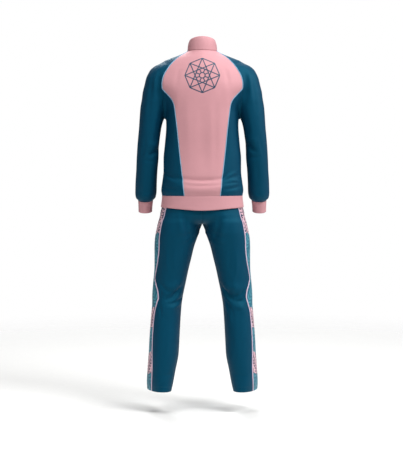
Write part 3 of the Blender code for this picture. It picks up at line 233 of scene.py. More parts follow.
# Largest folds: cloth, +1 behind or -1 in front, three points as (across, height), half width, height of the fold
JACKET_FOLDS = (
    # the body blouses over the hem band: one long trough round the back, its lip below, and the same in front
    ("waist fold, back", 1, (0.168, -0.535), (0.000, -0.588), (-0.168, -0.537), 0.0110, -0.0065),
    ("waist lip, back", 1, (0.150, -0.566), (0.000, -0.606), (-0.150, -0.568), 0.0160, 0.0045),
    ("waist fold, front", -1, (0.165, -0.540), (0.000, -0.580), (-0.165, -0.536), 0.0120, -0.0055),
    ("waist crease, left back", 1, (0.172, -0.585), (0.140, -0.603), (0.100, -0.602), 0.0070, -0.0030),
    ("waist crease, right back", 1, (-0.173, -0.581), (-0.135, -0.596), (-0.085, -0.600), 0.0072, -0.0034),
    ("drape from the shoulder blade, left", 1, (0.105, -0.150), (0.118, -0.300), (0.120, -0.430), 0.0200, 0.0030),
    ("drape from the shoulder blade, right", 1, (-0.100, -0.150), (-0.115, -0.300), (-0.125, -0.450), 0.0200, 0.0030),
    ("hollow of the back", 1, (0.000, -0.240), (-0.004, -0.380), (-0.012, -0.530), 0.0300, -0.0035),
    ("drape from the chest, left", -1, (0.080, -0.180), (0.095, -0.320), (0.100, -0.480), 0.0220, 0.0030),
    ("drape from the chest, right", -1, (-0.080, -0.180), (-0.098, -0.320), (-0.105, -0.480), 0.0220, 0.0030),
    ("armhole fold, left back", 1, (0.186, -0.105), (0.193, -0.165), (0.176, -0.235), 0.0140, -0.0085),
    ("armhole fold, right back", 1, (-0.189, -0.101), (-0.196, -0.165), (-0.178, -0.236), 0.0140, -0.0084),
    ("armhole fold, left front", -1, (0.184, -0.110), (0.192, -0.170), (0.177, -0.235), 0.0140, -0.0070),
    ("armhole fold, right front", -1, (-0.184, -0.111), (-0.192, -0.170), (-0.177, -0.236), 0.0140, -0.0069),
    ("elbow fold, left", 1, (0.186, -0.420), (0.206, -0.447), (0.234, -0.455), 0.0110, -0.0065),
    ("elbow fold, right", 1, (-0.184, -0.395), (-0.205, -0.425), (-0.236, -0.437), 0.0110, -0.0065),
    ("elbow pouch, left", 1, (0.192, -0.395), (0.215, -0.412), (0.240, -0.415), 0.0150, 0.0035),
    ("elbow pouch, right", 1, (-0.190, -0.370), (-0.214, -0.388), (-0.240, -0.395), 0.0150, 0.0035),
    ("elbow fold, left front", -1, (0.196, -0.405), (0.216, -0.440), (0.262, -0.452), 0.0120, -0.0055),
    ("elbow fold, right front", -1, (-0.196, -0.405), (-0.216, -0.440), (-0.262, -0.452), 0.0120, -0.0055),
    ("cuff blouse, left", 1, (0.214, -0.622), (0.248, -0.633), (0.284, -0.622), 0.0100, 0.0015),
    ("cuff blouse, right", 1, (-0.214, -0.622), (-0.248, -0.633), (-0.284, -0.622), 0.0100, 0.0015),
)
TROUSER_FOLDS = (
    ("knee fold, left", 1, (0.090, -1.022), (0.112, -1.062), (0.164, -1.078), 0.0115, -0.0095),
    ("knee pouch, left", 1, (0.086, -0.990), (0.130, -1.032), (0.178, -1.035), 0.0170, 0.0050),
    ("knee crease, left outer", 1, (0.176, -1.032), (0.190, -1.080), (0.186, -1.140), 0.0080, -0.0040),
    ("calf swell, left", 1, (0.110, -1.098), (0.135, -1.120), (0.165, -1.150), 0.0220, 0.0040),
    ("knee fold, right", 1, (-0.088, -1.030), (-0.120, -1.070), (-0.166, -1.060), 0.0115, -0.0095),
    ("knee pouch, right", 1, (-0.086, -0.998), (-0.128, -1.032), (-0.178, -1.026), 0.0170, 0.0050),
    ("knee crease, right inner", 1, (-0.098, -1.075), (-0.116, -1.110), (-0.112, -1.165), 0.0080, -0.0035),
    ("calf swell, right", 1, (-0.150, -1.085), (-0.178, -1.110), (-0.188, -1.150), 0.0160, 0.0035),
    ("seat fold, left", 1, (0.014, -0.772), (0.050, -0.805), (0.104, -0.800), 0.0150, -0.0045),
    ("seat fold, right", 1, (-0.014, -0.772), (-0.050, -0.805), (-0.104, -0.800), 0.0150, -0.0045),
    ("lap fold, left", -1, (0.014, -0.765), (0.060, -0.760), (0.130, -0.735), 0.0140, -0.0045),
    ("lap fold, right", -1, (-0.014, -0.765), (-0.060, -0.760), (-0.130, -0.735), 0.0140, -0.0045),
    ("shin fold, left", -1, (0.100, -1.110), (0.150, -1.135), (0.205, -1.112), 0.0150, -0.0045),
    ("shin fold, right", -1, (-0.100, -1.110), (-0.150, -1.135), (-0.205, -1.112), 0.0150, -0.0045),
    ("ankle break, left", -1, (0.150, -1.424), (0.205, -1.436), (0.240, -1.418), 0.0130, -0.0060),
    ("ankle break, right", -1, (-0.150, -1.424), (-0.205, -1.436), (-0.240, -1.418), 0.0130, -0.0060),
)


def oval(across, along, width, back, front, power):
    """How far points lie outside an upright tube of oval section, near enough in metres."""
    depth = np.where(along > 0, back, front)
    size = (np.abs(across / width) ** power + np.abs(along / depth) ** power) ** (1 / power)
    return (size - 1) * np.minimum(width, depth)


def joined(one, other, reach):
    """Two tubes run into each other, with a soft hollow where both surfaces are within reach."""
    near = np.maximum(reach - np.abs(one - other), 0)
    return np.minimum(one, other) - near * near / (4 * reach)


def jacket_skin(p):
    x, y, z = np.abs(p[..., 0]), p[..., 1], p[..., 2]
    width, back, front, power = TORSO(z)
    body = oval(x, y, width, back, front, power)
    # the forearm's rings lean square to it, so they are read from the table at a height that leans too
    along = z + math.tan(math.radians(WRIST_TILT)) * np.clip((-0.38 - z) / 0.20, 0, 1) * (y + SLEEVE(z)[1])
    middle, forward, half, behind, before = SLEEVE(along)
    sleeve = np.maximum(oval(x - middle, y + forward, half, behind, before, 2.15), z - SLEEVE_TOP)
    return joined(body, sleeve, ARMPIT_BLEND)


def trouser_skin(p):
    x, y, z = p[..., 0], p[..., 1], p[..., 2]
    width, back, front, power = HIPS(z)
    hips = np.maximum(oval(x, y, width, back, front, power), HIPS_BOTTOM - z)
    middle, forward, half, behind, before, turn = LEG(z)
    legs = []
    for side in (1, -1):
        dx, dy = side * x - middle, y + forward
        c, s = np.cos(np.radians(turn)), np.sin(np.radians(turn))
        leg = oval(dx * c + dy * s, dy * c - dx * s, half, behind, before, 2.2)
        legs.append(np.maximum(leg, z - LEG_TOP))
    return joined(joined(legs[0], legs[1], CROTCH_BLEND), hips, HIP_BLEND)


def reached(skin, start, direction, farthest, inside_of=None):
    """The points where rays that start inside the cloth first come out of it.

    Where a ray never does before it passes the plane |x| = inside_of, it stops where it comes nearest to the
    surface, which is the seam between two tubes."""
    start, direction = np.broadcast_arrays(start, direction)
    steps = np.linspace(0.002, farthest, 120)
    line = start[..., None, :] + direction[..., None, :] * steps[:, None]
    value = skin(line)
    if inside_of is not None:
        value = np.where(inside_of(line), value, -np.inf)
    out = value > 0
    first = np.argmax(out, axis=-1)
    never = ~out.any(axis=-1)
    first = np.where(never, np.argmax(value, axis=-1), np.maximum(first, 1))
    low, high = steps[np.maximum(first - 1, 0)], steps[first]
    for _ in range(18):
        mid = (low + high) / 2
        outside = skin(start + direction * mid[..., None]) > 0
        low, high = np.where(outside, low, mid), np.where(outside, mid, high)
    distance = np.where(never, steps[first], high)
    return start + direction * distance[..., None]


def slope(function, p, step=0.0008):
    """The gradient of a function of points."""
    parts = [
        (function(p + step * axis) - function(p - step * axis)) / (2 * step)
        for axis in np.eye(3)
    ]
    return np.stack(parts, -1)


def unit(v):
    return v / np.maximum(np.linalg.norm(v, axis=-1, keepdims=True), 1e-12)


class Cloth:
    """One garment: the skin it takes in wear, and the folds that lie on that skin."""

    def __init__(self, skin, folds):
        self.skin = skin
        self.folds = [self.laid(*fold[1:]) for fold in folds]

    def laid(self, side, start, middle, end, half_width, height):
        """A fold's line as points on the skin."""
        u = np.linspace(0, 1, 9)[:, None]
        line = (1 - u) ** 2 * np.array(start) + 2 * u * (1 - u) * np.array(middle) + u * u * np.array(end)
        inside = np.stack([line[:, 0], np.full(9, -0.01), line[:, 1]], -1)
        points = reached(self.skin, inside, np.array([0.0, side, 0.0]), 0.16)
        return points, half_width, height

    def lift(self, p):
        """How far the folds raise or sink the cloth at points of the skin."""
        total = np.zeros(p.shape[:-1])
        for points, half_width, height in self.folds:
            low, high = points.min(0) - 3 * half_width, points.max(0) + 3 * half_width
            near = ((p > low) & (p < high)).all(-1)
            if not near.any():
                continue
            q = p[near]
            starts, runs = points[:-1], np.diff(points, axis=0)
            u = ((q[:, None] - starts) * runs).sum(-1) / (runs * runs).sum(-1)
            u = np.clip(u, 0, 1)
            apart = np.linalg.norm(q[:, None] - (starts + u[..., None] * runs), axis=-1)
            nearest = np.argmin(apart, axis=1)
            row = np.arange(len(q))
            along = (nearest + u[row, nearest]) / len(runs)
            fade = np.sin(np.pi * np.clip(along, 0.02, 0.98)) ** 0.6
            total[near] += height * fade * np.exp(-((apart[row, nearest] / half_width) ** 2))
        return total

    def off(self, p):
        """How far points lie off the folded cloth, near enough."""
        return self.skin(p) - self.lift(p)

    def dressed(self, base):
        """Skin points with the folds in, and the outward normals there."""
        normal = unit(slope(self.skin, base))
        lift = self.lift(base)
        tilt = slope(self.lift, base)
        tilt -= (tilt * normal).sum(-1, keepdims=True) * normal
        return base + normal * lift[..., None], unit(normal - tilt)


JACKET = Cloth(jacket_skin, JACKET_FOLDS)
TROUSERS = Cloth(trouser_skin, TROUSER_FOLDS)


def patch(left, right, low, high):
    """A net of points between four edges, blended from them. Edges run low to high and left to right."""
    rows, columns = len(left), len(low)
    s = np.linspace(0, 1, rows)[:, None, None]
    t = np.linspace(0, 1, columns)[None, :, None]
    sides = (1 - t) * left[:, None] + t * right[:, None]
    ends = (1 - s) * low[None] + s * high[None]
    corners = (1 - s) * ((1 - t) * low[0] + t * low[-1]) + s * ((1 - t) * high[0] + t * high[-1])
    return sides + ends - corners


def pulled_in(net, closed=False, ends=True):
    """Moves the edges of a net half a seam's gap into the piece."""
    net = net.copy()
    pairs = [] if closed else [((slice(None), 0), (slice(None), 1)), ((slice(None), -1), (slice(None), -2))]
    if ends:
        pairs += [((0,), (1,)), ((-1,), (-2,))]
    for edge, inner in pairs:
        net[edge] += unit(net[inner] - net[edge]) * SEAM_GAP / 2
    return net


# Rows and columns of the cloth nets, about 5 mm apart
SIDE_ROWS = np.linspace(HEM_SEAM, CORNER, 97)
RAGLAN_ROWS, ARMHOLE_ROWS = 44, 26
BACK_COLUMNS, SIDE_COLUMNS, FRONT_COLUMNS, SLEEVE_COLUMNS = 68, 52, 34, 84
SLEEVE_ROWS = np.concatenate([np.linspace(CUFF_SEAM, -0.626, 9)[:-1], np.linspace(-0.626, -0.296, 68)])
LEG_ROWS = np.linspace(TROUSER_HEM, -0.782, 140)
UPPER_ROWS = 46
LEG_COLUMNS, LEG_SIDE_COLUMNS = 44, 22


def across_face(skin, x, z, side):
    """Skin points straight behind (side 1) or in front (side -1) of the middle plane."""
    start = np.stack([x, np.zeros_like(x), z], -1)
    return reached(skin, start, np.array([0.0, side, 0.0]), 0.16)


def turned(angle):
    """Level directions by angle, from the wearer's left round the back to the right."""
    return np.stack([np.cos(angle), np.sin(angle), np.zeros_like(angle)], -1)


def evenly(line, count):
    """The same line with its points evenly apart."""
    length = np.concatenate([[0], np.cumsum(np.linalg.norm(np.diff(line, axis=0), axis=1))])
    at = np.linspace(0, length[-1], count + 1)
    return np.stack([np.interp(at, length, line[:, i]) for i in range(3)], -1)


def fan(skin, centre, first, last, count):
    """Rows of skin points as seen from a centre each, every row running from one point to another."""
    a, b = unit(first - centre)[:, None], unit(last - centre)[:, None]
    between = np.arccos(np.clip((a * b).sum(-1, keepdims=True), -1, 1))
    t = np.linspace(0, 1, count + 1)[None, :, None]
    direction = (np.sin((1 - t) * between) * a + np.sin(t * between) * b) / np.sin(between)
    net = reached(skin, centre[:, None], direction, 0.24)
    net[:, 0], net[:, -1] = first, last
    return net


def neck_ring(angle):
    """Points of the neck seam by angle. It is level behind and at the sides and dips to the zip."""
    z = -FRONT_NECK_DROP * np.clip(-np.sin(angle), 0, 1) ** 2.2
    start = np.stack([0 * z, 0 * z, z], -1)
    return reached(jacket_skin, start, turned(angle), 0.22)


def neck_angle(x, side):
    """Where the neck seam is this far to the wearer's left, behind or in front."""
    angle = np.linspace(0, side * math.pi / 2, 400)
    distance = neck_ring(angle)[:, 0]
    return float(np.interp(x, distance[::-1], angle[::-1]))


NECK_AT_ZIP = neck_angle(ZIP_GAP, -1)
NECK_AT_FRONT_SEAM = neck_angle(float(RAGLAN_FRONT.values[-1, 0]), -1)
NECK_AT_BACK_SEAM = neck_angle(float(RAGLAN_BACK.values[-1, 0]), 1)


def neck_line(first, last, count):
    return neck_ring(np.linspace(first, last, count + 1))


def side_seam(side):
    """From the hem up to the corner at the armhole."""
    return across_face(jacket_skin, SIDE_SEAM(SIDE_ROWS)[0], SIDE_ROWS, side)


def raglan_seam(count, side):
    """From that corner up to the neck."""
    table, top = (RAGLAN_BACK, NECK_AT_BACK_SEAM) if side > 0 else (RAGLAN_FRONT, NECK_AT_FRONT_SEAM)
    end = neck_ring(np.array([top]))[0]
    z = np.linspace(CORNER, end[2], 160)
    line = across_face(jacket_skin, table(z)[0], z, side)
    line[-1] = end
    return evenly(line, count)


def armhole(count, side):
    """From the underarm point up to the corner, where the sleeve meets the side panel."""
    turn = np.linspace(0, math.pi / 2, 60)
    corner = side_seam(side)[-1]
    start = corner * np.array([1.0, 0.0, 1.0])
    direction = np.stack([-ARMHOLE_LEAN * np.cos(turn), side * np.sin(turn), -np.cos(turn)], -1)
    line = reached(jacket_skin, start, unit(direction), 0.16)
    line[-1] = corner
    return evenly(line, count)


def hem_ring(angle, z):
    start = np.stack([0 * angle, 0 * angle, z + 0 * angle], -1)
    return reached(jacket_skin, start, turned(angle), 0.22)


def back_net():
    edge = np.vstack([side_seam(1), raglan_seam(RAGLAN_ROWS, 1)[1:]])
    centre = edge * np.array([0.0, 0.0, 1.0])
    return fan(jacket_skin, centre, edge, edge * MIRROR, BACK_COLUMNS)


def front_net():
    """The wearer's left front, from the zip to the seams."""
    edge = np.vstack([side_seam(-1), raglan_seam(RAGLAN_ROWS, -1)[1:]])
    top = neck_ring(np.array([NECK_AT_ZIP]))[0]
    z = np.interp(edge[:, 2], [HEM_SEAM, edge[-1, 2]], [HEM_SEAM, top[2]])
    zip_edge = across_face(jacket_skin, np.full_like(z, ZIP_GAP), z, -1)
    zip_edge[-1] = top
    centre = (edge + zip_edge) / 2 * np.array([0.0, 0.0, 1.0])
    net = fan(jacket_skin, centre, zip_edge, edge, FRONT_COLUMNS)
    net[-1] = neck_line(NECK_AT_ZIP, NECK_AT_FRONT_SEAM, FRONT_COLUMNS)
    return net


def side_net():
    """The panel under the wearer's left arm, from its front seam to its back seam."""
    front, back = side_seam(-1), side_seam(1)
    half = SIDE_COLUMNS // 2
    high = np.vstack([armhole(half, -1)[::-1], armhole(half, 1)[1:]])
    angle = np.linspace(math.atan2(front[0, 1], front[0, 0]), math.atan2(back[0, 1], back[0, 0]), SIDE_COLUMNS + 1)
    low = hem_ring(angle, HEM_SEAM)
    flat = [np.stack([np.arctan2(e[:, 1], e[:, 0]), e[:, 2]], -1) for e in (front, back, low, high)]
    flat = patch(*flat)
    start = np.stack([0 * flat[..., 0], 0 * flat[..., 0], flat[..., 1]], -1)

    def under_arm(p):
        inward = p[..., 0] < front[-1, 0] + ARMHOLE_LEAN * (p[..., 2] - CORNER)
        return inward | (p[..., 2] < high[half, 2])

    net = reached(jacket_skin, start, turned(flat[..., 0]), 0.22, under_arm)
    net[:, 0], net[:, -1], net[0], net[-1] = front, back, low, high
    net[-1, 1:-1] += unit(net[-2, 1:-1] - net[-1, 1:-1]) * TIGHT_SEAM
    return net


def ring(z, lean_in, lean_back, count):
    """A ring of points round a sleeve, from its inner side over the front and the outer side."""
    middle, forward = SLEEVE(z)[:2]
    angle = np.linspace(-math.pi, math.pi, count + 1)
    out = np.array([math.cos(lean_in), 0.0, math.sin(lean_in)])
    back = np.array([0.0, math.cos(lean_back), -math.sin(lean_back)])
    direction = np.cos(angle)[:, None] * out + np.sin(angle)[:, None] * back
    return reached(jacket_skin, np.array([middle, -forward, z]), direction, 0.12)


def lean(z):
    """How sleeve rings lean at a height: outer side up near the underarm, back down towards the wrist."""
    shoulder = np.clip((z + 0.45) / 0.18, 0, 1)
    wrist = np.clip((-0.38 - z) / 0.20, 0, 1)
    return math.radians(12) * shoulder, math.radians(WRIST_TILT) * wrist


def shoulder_line(low, count):
    """The sleeve's outline from a point on its outer side over the shoulder to the neck."""
    start = np.array([0.150, 0.0, -0.200])
    end = neck_ring(np.array([0.0]))[0]
    first = math.atan2(low[2] - start[2], low[0] - start[0])
    last = math.atan2(end[2] - start[2], end[0] - start[0])
    angle = np.linspace(first, last, 200)
    direction = np.stack([np.cos(angle), 0 * angle, np.sin(angle)], -1)
    line = reached(jacket_skin, start, direction, 0.24)
    line[0], line[-1] = low, end
    return evenly(line, count)


def sleeve_net():
    """The wearer's left sleeve: closed rings up to the underarm, then rows from the front seams over the
    shoulder to the back seams. Returns the net and the number of closed rows."""
    half = SLEEVE_COLUMNS // 2
    closed = np.stack([ring(z, *lean(z), SLEEVE_COLUMNS) for z in SLEEVE_ROWS])
    front, back = (
        np.vstack([armhole(ARMHOLE_ROWS, side), raglan_seam(RAGLAN_ROWS, side)[1:]]) for side in (-1, 1)
    )
    underarm = front[0]
    low = np.array([underarm[0] + 0.055, 0.0, underarm[2] + 0.013])
    low = reached(jacket_skin, low, unit(np.array([1.0, 0.0, 0.21])), 0.12)
    outer = shoulder_line(low, ARMHOLE_ROWS + RAGLAN_ROWS)
    between = (front + back) / 2
    away = np.linalg.norm(between - outer, axis=1, keepdims=True)
    centre = outer + unit(between - outer) * np.sqrt((away * 0.5) ** 2 + 0.045**2)
    centre[0] = (outer[0] + underarm) / 2
    before = fan(jacket_skin, centre, front, outer, half)
    behind = fan(jacket_skin, centre, outer, back, half)
    rows = np.concatenate([before, behind[:, 1:]], axis=1)
    rows[-1] = neck_line(NECK_AT_FRONT_SEAM, NECK_AT_BACK_SEAM, SLEEVE_COLUMNS)
    angle = np.linspace(-math.pi, math.pi, SLEEVE_COLUMNS + 1)
    out, reach = unit(outer[0] - centre[0]), np.array([0.0, 1.0, 0.0])
    direction = np.cos(angle)[:, None] * out + np.sin(angle)[:, None] * reach
    rows[0] = reached(jacket_skin, centre[0], direction, 0.12)
    rows[0, 0] = rows[0, -1] = underarm
    return np.concatenate([closed, rows]), len(closed) + 1


def net_normals(net, closed=False):
    """Outward normals of a net whose columns run to the right and whose rows run up."""
    across = np.gradient(net, axis=1)
    if closed:
        across = np.roll(net, -1, axis=1) - np.roll(net, 1, axis=1)
    return unit(np.cross(across, np.gradient(net, axis=0)))


def leg_middle(z):
    middle, forward = LEG(z)[:2]
    return np.stack([middle, -forward, z + 0 * middle], -1)


def leg_outline(z):
    """How far out the wearer's left leg reaches at each height."""
    angle = np.linspace(-1.2, 1.2, 49)
    return reached(trouser_skin, leg_middle(z)[:, None], turned(angle)[None], 0.2)[..., 0].max(1)


def panel_edges(z):
    """Front and back edges of the side panel at each height, on the wearer's left."""
    middle, outline = leg_middle(z), leg_outline(z)
    start = np.stack([outline - STRIPE_INSET(z)[0], middle[:, 1], z], -1)
    back = reached(trouser_skin, start, np.array([0.0, 1.0, 0.0]), 0.16)
    # the front edge hangs straighter than the back one, which the folds behind the knee push about
    start[:, 0] = outline - 0.018
    calm = reached(trouser_skin, start, np.array([0.0, 1.0, 0.0]), 0.16)
    first = np.arctan2(calm[:, 1] - middle[:, 1], calm[:, 0] - middle[:, 0])
    angle = first[:, None] - np.linspace(0, 2.6, 80)
    line = reached(trouser_skin, middle[:, None], turned(angle), 0.2)
    length = np.linalg.norm(np.diff(line, axis=1), axis=-1).cumsum(1)
    wide = SIDE_PANEL_WIDTH(z)[0]
    chosen = np.array([np.interp(w, np.concatenate([[0], row]), a) for w, row, a in zip(wide, length, angle)])
    front = reached(trouser_skin, middle, turned(chosen), 0.2)
    return front, back


def crotch_line(count, side):
    """From the crotch point up the middle of the seat or of the lap to the waistband."""
    centre = -0.660
    turn = np.linspace(0, math.pi / 2, 80)
    direction = np.stack([0 * turn, side * np.sin(turn), -np.cos(turn)], -1)
    under = reached(trouser_skin, np.array([0.0, 0.0, centre]), direction, 0.2)
    z = np.linspace(centre, WAISTBAND_SEAM, 40)[1:]
    return evenly(np.vstack([under, across_face(trouser_skin, 0 * z, z, side)]), count)


def trouser_nets():
    """Back, side and front panels of the wearer's left leg."""
    seat, lap = crotch_line(UPPER_ROWS, 1), crotch_line(UPPER_ROWS, -1)
    middle = leg_middle(LEG_ROWS)
    inseam = reached(trouser_skin, middle, np.array([-1.0, 0.0, 0.0]), 0.2)
    upper = np.linspace(-0.764, WAISTBAND_SEAM, UPPER_ROWS + 1)
    heights = np.concatenate([LEG_ROWS, upper])
    front, back = panel_edges(heights)
    side_centre = leg_middle(heights)
    side = fan(trouser_skin, side_centre, front, back, LEG_SIDE_COLUMNS)
    nets = []
    for edge, inner in ((back, seat), (front, lap)):
        inner = np.vstack([inseam, inner])
        centre = leg_middle(heights)
        centre[len(LEG_ROWS):, 2] = (edge + inner)[len(LEG_ROWS):, 2] / 2
        side_first = edge is back
        ends = (edge, inner) if side_first else (inner, edge)
        net = fan(trouser_skin, centre, *ends, LEG_COLUMNS)
        net[len(LEG_ROWS) - 1, -1 if side_first else 0, 1] += TIGHT_SEAM / 2 * (1 if side_first else -1)
        nets.append(net)
    return nets[0], side, nets[1]


def zip_line(pieces, side, x):
    """Points and normals up the front at a distance from the middle, in the plane of the cloth beside it."""
    points, normals = [], []
    for net, normal in pieces:
        edge, inner = (0, 1) if side > 0 else (-1, -2)
        reach = (side * x - net[:, edge, 0]) / (net[:, inner, 0] - net[:, edge, 0])
        points.append(net[:, edge] + (net[:, inner] - net[:, edge]) * reach[:, None])
        normals.append(normal[:, edge])
    points = np.vstack([points[0], points[1][1:], points[2][1:]])
    normals = np.vstack([normals[0], normals[1][1:], normals[2][1:]])
    points[-1] += unit(points[-2] - points[-1]) * ZIP_TOP_INSET
    points[0] += unit(points[1] - points[0]) * 0.0010
    return points, normals


def middle_line(left, right):
    """Points and normals of the middle of the front."""
    (p, n), (q, m) = zip_line(left, 1, 0.0), zip_line(right, -1, 0.0)
    return (p + q) / 2, unit(n + m)


def slider_frame(points, normals, down):
    """The slider's frame at a distance down the zip: X across, Y up the zip, Z out from the cloth."""
    length = np.concatenate([[0], np.linalg.norm(np.diff(points[::-1], axis=0), axis=1).cumsum()])
    at = np.array([np.interp(down, length, points[::-1, i]) for i in range(3)])
    above = np.array([np.interp(down - 0.006, length, points[::-1, i]) for i in range(3)])
    up = unit(above - at)
    out = np.cross(np.array([1.0, 0.0, 0.0]), up)
    frame = Matrix.Identity(4)
    for row in range(3):
        frame[row][0], frame[row][1], frame[row][2], frame[row][3] = (1.0, 0, 0)[row], up[row], out[row], at[row]
    return frame


# Cloth pieces


def edge_rows(base, sewn):
    """How far each point of a net sinks: the cloth turns in along its sewn edges, l r b t."""
    sink = np.zeros(base.shape[:2])
    for edge, second, side in (
        ((slice(None), 0), (slice(None), 1), "l"),
        ((slice(None), -1), (slice(None), -2), "r"),
        ((0,), (1,), "b"),
        ((-1,), (-2,), "t"),
    ):
        if side in sewn:
            sink[edge] = SEAM_SINK
            sink[second] = np.maximum(sink[second], SEAM_SINK * 0.22)
    return sink


def thin_shell(name, points, normals, finish, thickness, flip=False, joined=0):
    """A thin cloth shell from a net of its outer points, with rounded edges and the cloth's own metres as UVs.

    The first joined rows are closed rings: their last column is their first."""
    rows, columns = points.shape[:2]
    index = np.arange(rows * columns).reshape(rows, columns)
    index[:joined, -1] = index[:joined, 0]
    kept, index = np.unique(index, return_inverse=True)
    index = index.reshape(rows, columns)
    outer, inward = points.reshape(-1, 3)[kept], normals.reshape(-1, 3)[kept]
    across = np.linalg.norm(np.diff(points, axis=1), axis=-1).cumsum(1)
    across = np.concatenate([np.zeros((rows, 1)), across], axis=1)
    across -= across[:, columns // 2][:, None]
    up = np.concatenate([[0], np.linalg.norm(np.diff(points, axis=0), axis=-1).mean(1).cumsum()])
    uv = np.stack([across, np.repeat(up[:, None], columns, axis=1)], -1)
    corners = [(slice(0, -1), slice(0, -1)), (slice(0, -1), slice(1, None)), (slice(1, None), slice(1, None)), (slice(1, None), slice(0, -1))]
    quads = np.stack([index[c].ravel() for c in corners], 1)
    quad_uv = np.stack([uv[c].reshape(-1, 2) for c in corners], 1)
    if flip:
        quads, quad_uv = quads[:, ::-1], quad_uv[:, ::-1]
    count = len(outer)
    directed = np.concatenate([np.stack([quads[:, i], quads[:, (i + 1) % 4]], 1) for i in range(4)])
    known = set(map(tuple, directed.tolist()))
    edge_uv = np.concatenate([np.stack([quad_uv[:, i], quad_uv[:, (i + 1) % 4]], 1) for i in range(4)])
    free = np.array([(b, a) not in known for a, b in directed.tolist()])
    rim, rim_uv = directed[free], edge_uv[free]
    # the edge is rounded: a line of points half way through the cloth, a little further out than both sides
    ends, place = np.unique(rim, return_inverse=True)
    place = place.reshape(rim.shape)
    centre, seen = np.zeros((count, 3)), np.zeros(count)
    middle = outer[quads].mean(1)
    for i in range(4):
        np.add.at(centre, quads[:, i], middle)
        np.add.at(seen, quads[:, i], 1)
    away = unit(outer[ends] - centre[ends] / seen[ends][:, None])
    away = unit(away - (away * inward[ends]).sum(-1, keepdims=True) * inward[ends])
    ring = outer[ends] - inward[ends] * thickness / 2 + away * min(thickness * 0.38, 0.0009)
    inner = outer - inward * thickness
    vertices = np.vstack([outer, inner, ring])
    a, b = rim[:, 0], rim[:, 1]
    m, n = place[:, 0] + 2 * count, place[:, 1] + 2 * count
    faces = np.concatenate([
        quads, quads[:, ::-1] + count,
        np.stack([b, a, m, n], 1), np.stack([n, m, a + count, b + count], 1),
    ])
    face_uv = np.concatenate([quad_uv, quad_uv[:, ::-1], rim_uv[:, [1, 0, 0, 1]], rim_uv[:, [1, 0, 0, 1]]])
    mesh = bpy.data.meshes.new(name)
    mesh.from_pydata(vertices.tolist(), [], faces.tolist())
    layer = mesh.uv_layers.new(name="cloth")
    layer.data.foreach_set("uv", face_uv.astype(np.float32).ravel())
    mesh.shade_smooth()
    mesh.materials.append(finish)
    made = bpy.data.objects.new(name, mesh)
    bpy.context.scene.collection.objects.link(made)
    made["half_area"] = 0.0
    return made


def cloth_piece(name, cloth, base, finish, node, thickness=CLOTH, mirror=False, joined=0,
                sewn="lrbt"):
    """A piece of cloth on the garment's skin, which stands for a node."""
    if mirror:
        base = base * MIRROR
    points, normals = cloth.dressed(base)
    points = points - normals * edge_rows(base, sewn)[..., None]
    made = thin_shell(name, points, normals, finish, thickness, flip=mirror, joined=joined)
    put(made, node)
    return points, normals


def put(made, node):
    """Rides on the suit and stands for its node, which it hides."""
    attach(made, "suit")
    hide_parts(node)


def profile_strip(name, points, normals, width, height, finish, sunk=0.0004, flat=False):
    """A strip along a line of cloth with a rounded back, as piping, or flat with soft edges, as a tape."""
    along = unit(np.gradient(points, axis=0))
    across = unit(np.cross(normals, along))
    if flat:
        section = [(-0.5, 0.0), (-0.5, 0.62), (-0.44, 0.93), (-0.2, 1.0), (0.2, 1.0), (0.44, 0.93), (0.5, 0.62), (0.5, 0.0)]
    else:
        section = [(-0.5, 0.0), (-0.49, 0.40), (-0.36, 0.78), (-0.14, 0.98), (0.14, 0.98), (0.36, 0.78), (0.49, 0.40), (0.5, 0.0)]
    rings = np.stack([points + across * (s * width) + normals * (-sunk + t * (height + sunk)) for s, t in section], 1)
    rows, columns = rings.shape[:2]
    faces, uvs = [], []
    length = np.concatenate([[0], np.linalg.norm(np.diff(points, axis=0), axis=1).cumsum()])
    for r in range(rows - 1):
        for c in range(columns):
            d = (c + 1) % columns
            faces.append((r * columns + c, (r + 1) * columns + c, (r + 1) * columns + d, r * columns + d))
            left, right = section[c][0] * width, section[d][0] * width
            uvs += [(left, length[r]), (left, length[r + 1]), (right, length[r + 1]), (right, length[r])]
    for end, ring in ((0, range(columns)), (rows - 1, range(columns - 1, -1, -1))):
        faces.append(tuple(end * columns + c for c in ring))
        uvs += [(section[c][0] * width, length[end]) for c in ring]
    mesh = bpy.data.meshes.new(name)
    mesh.from_pydata(rings.reshape(-1, 3).tolist(), [], faces)
    layer = mesh.uv_layers.new(name="cloth")
    layer.data.foreach_set("uv", np.array(uvs, np.float32).ravel())
    mesh.shade_smooth()
    mesh.set_sharp_from_angle(angle=math.radians(60))
    mesh.materials.append(finish)
    made = bpy.data.objects.new(name, mesh)
    bpy.context.scene.collection.objects.link(made)
    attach(made, "suit")
    return made


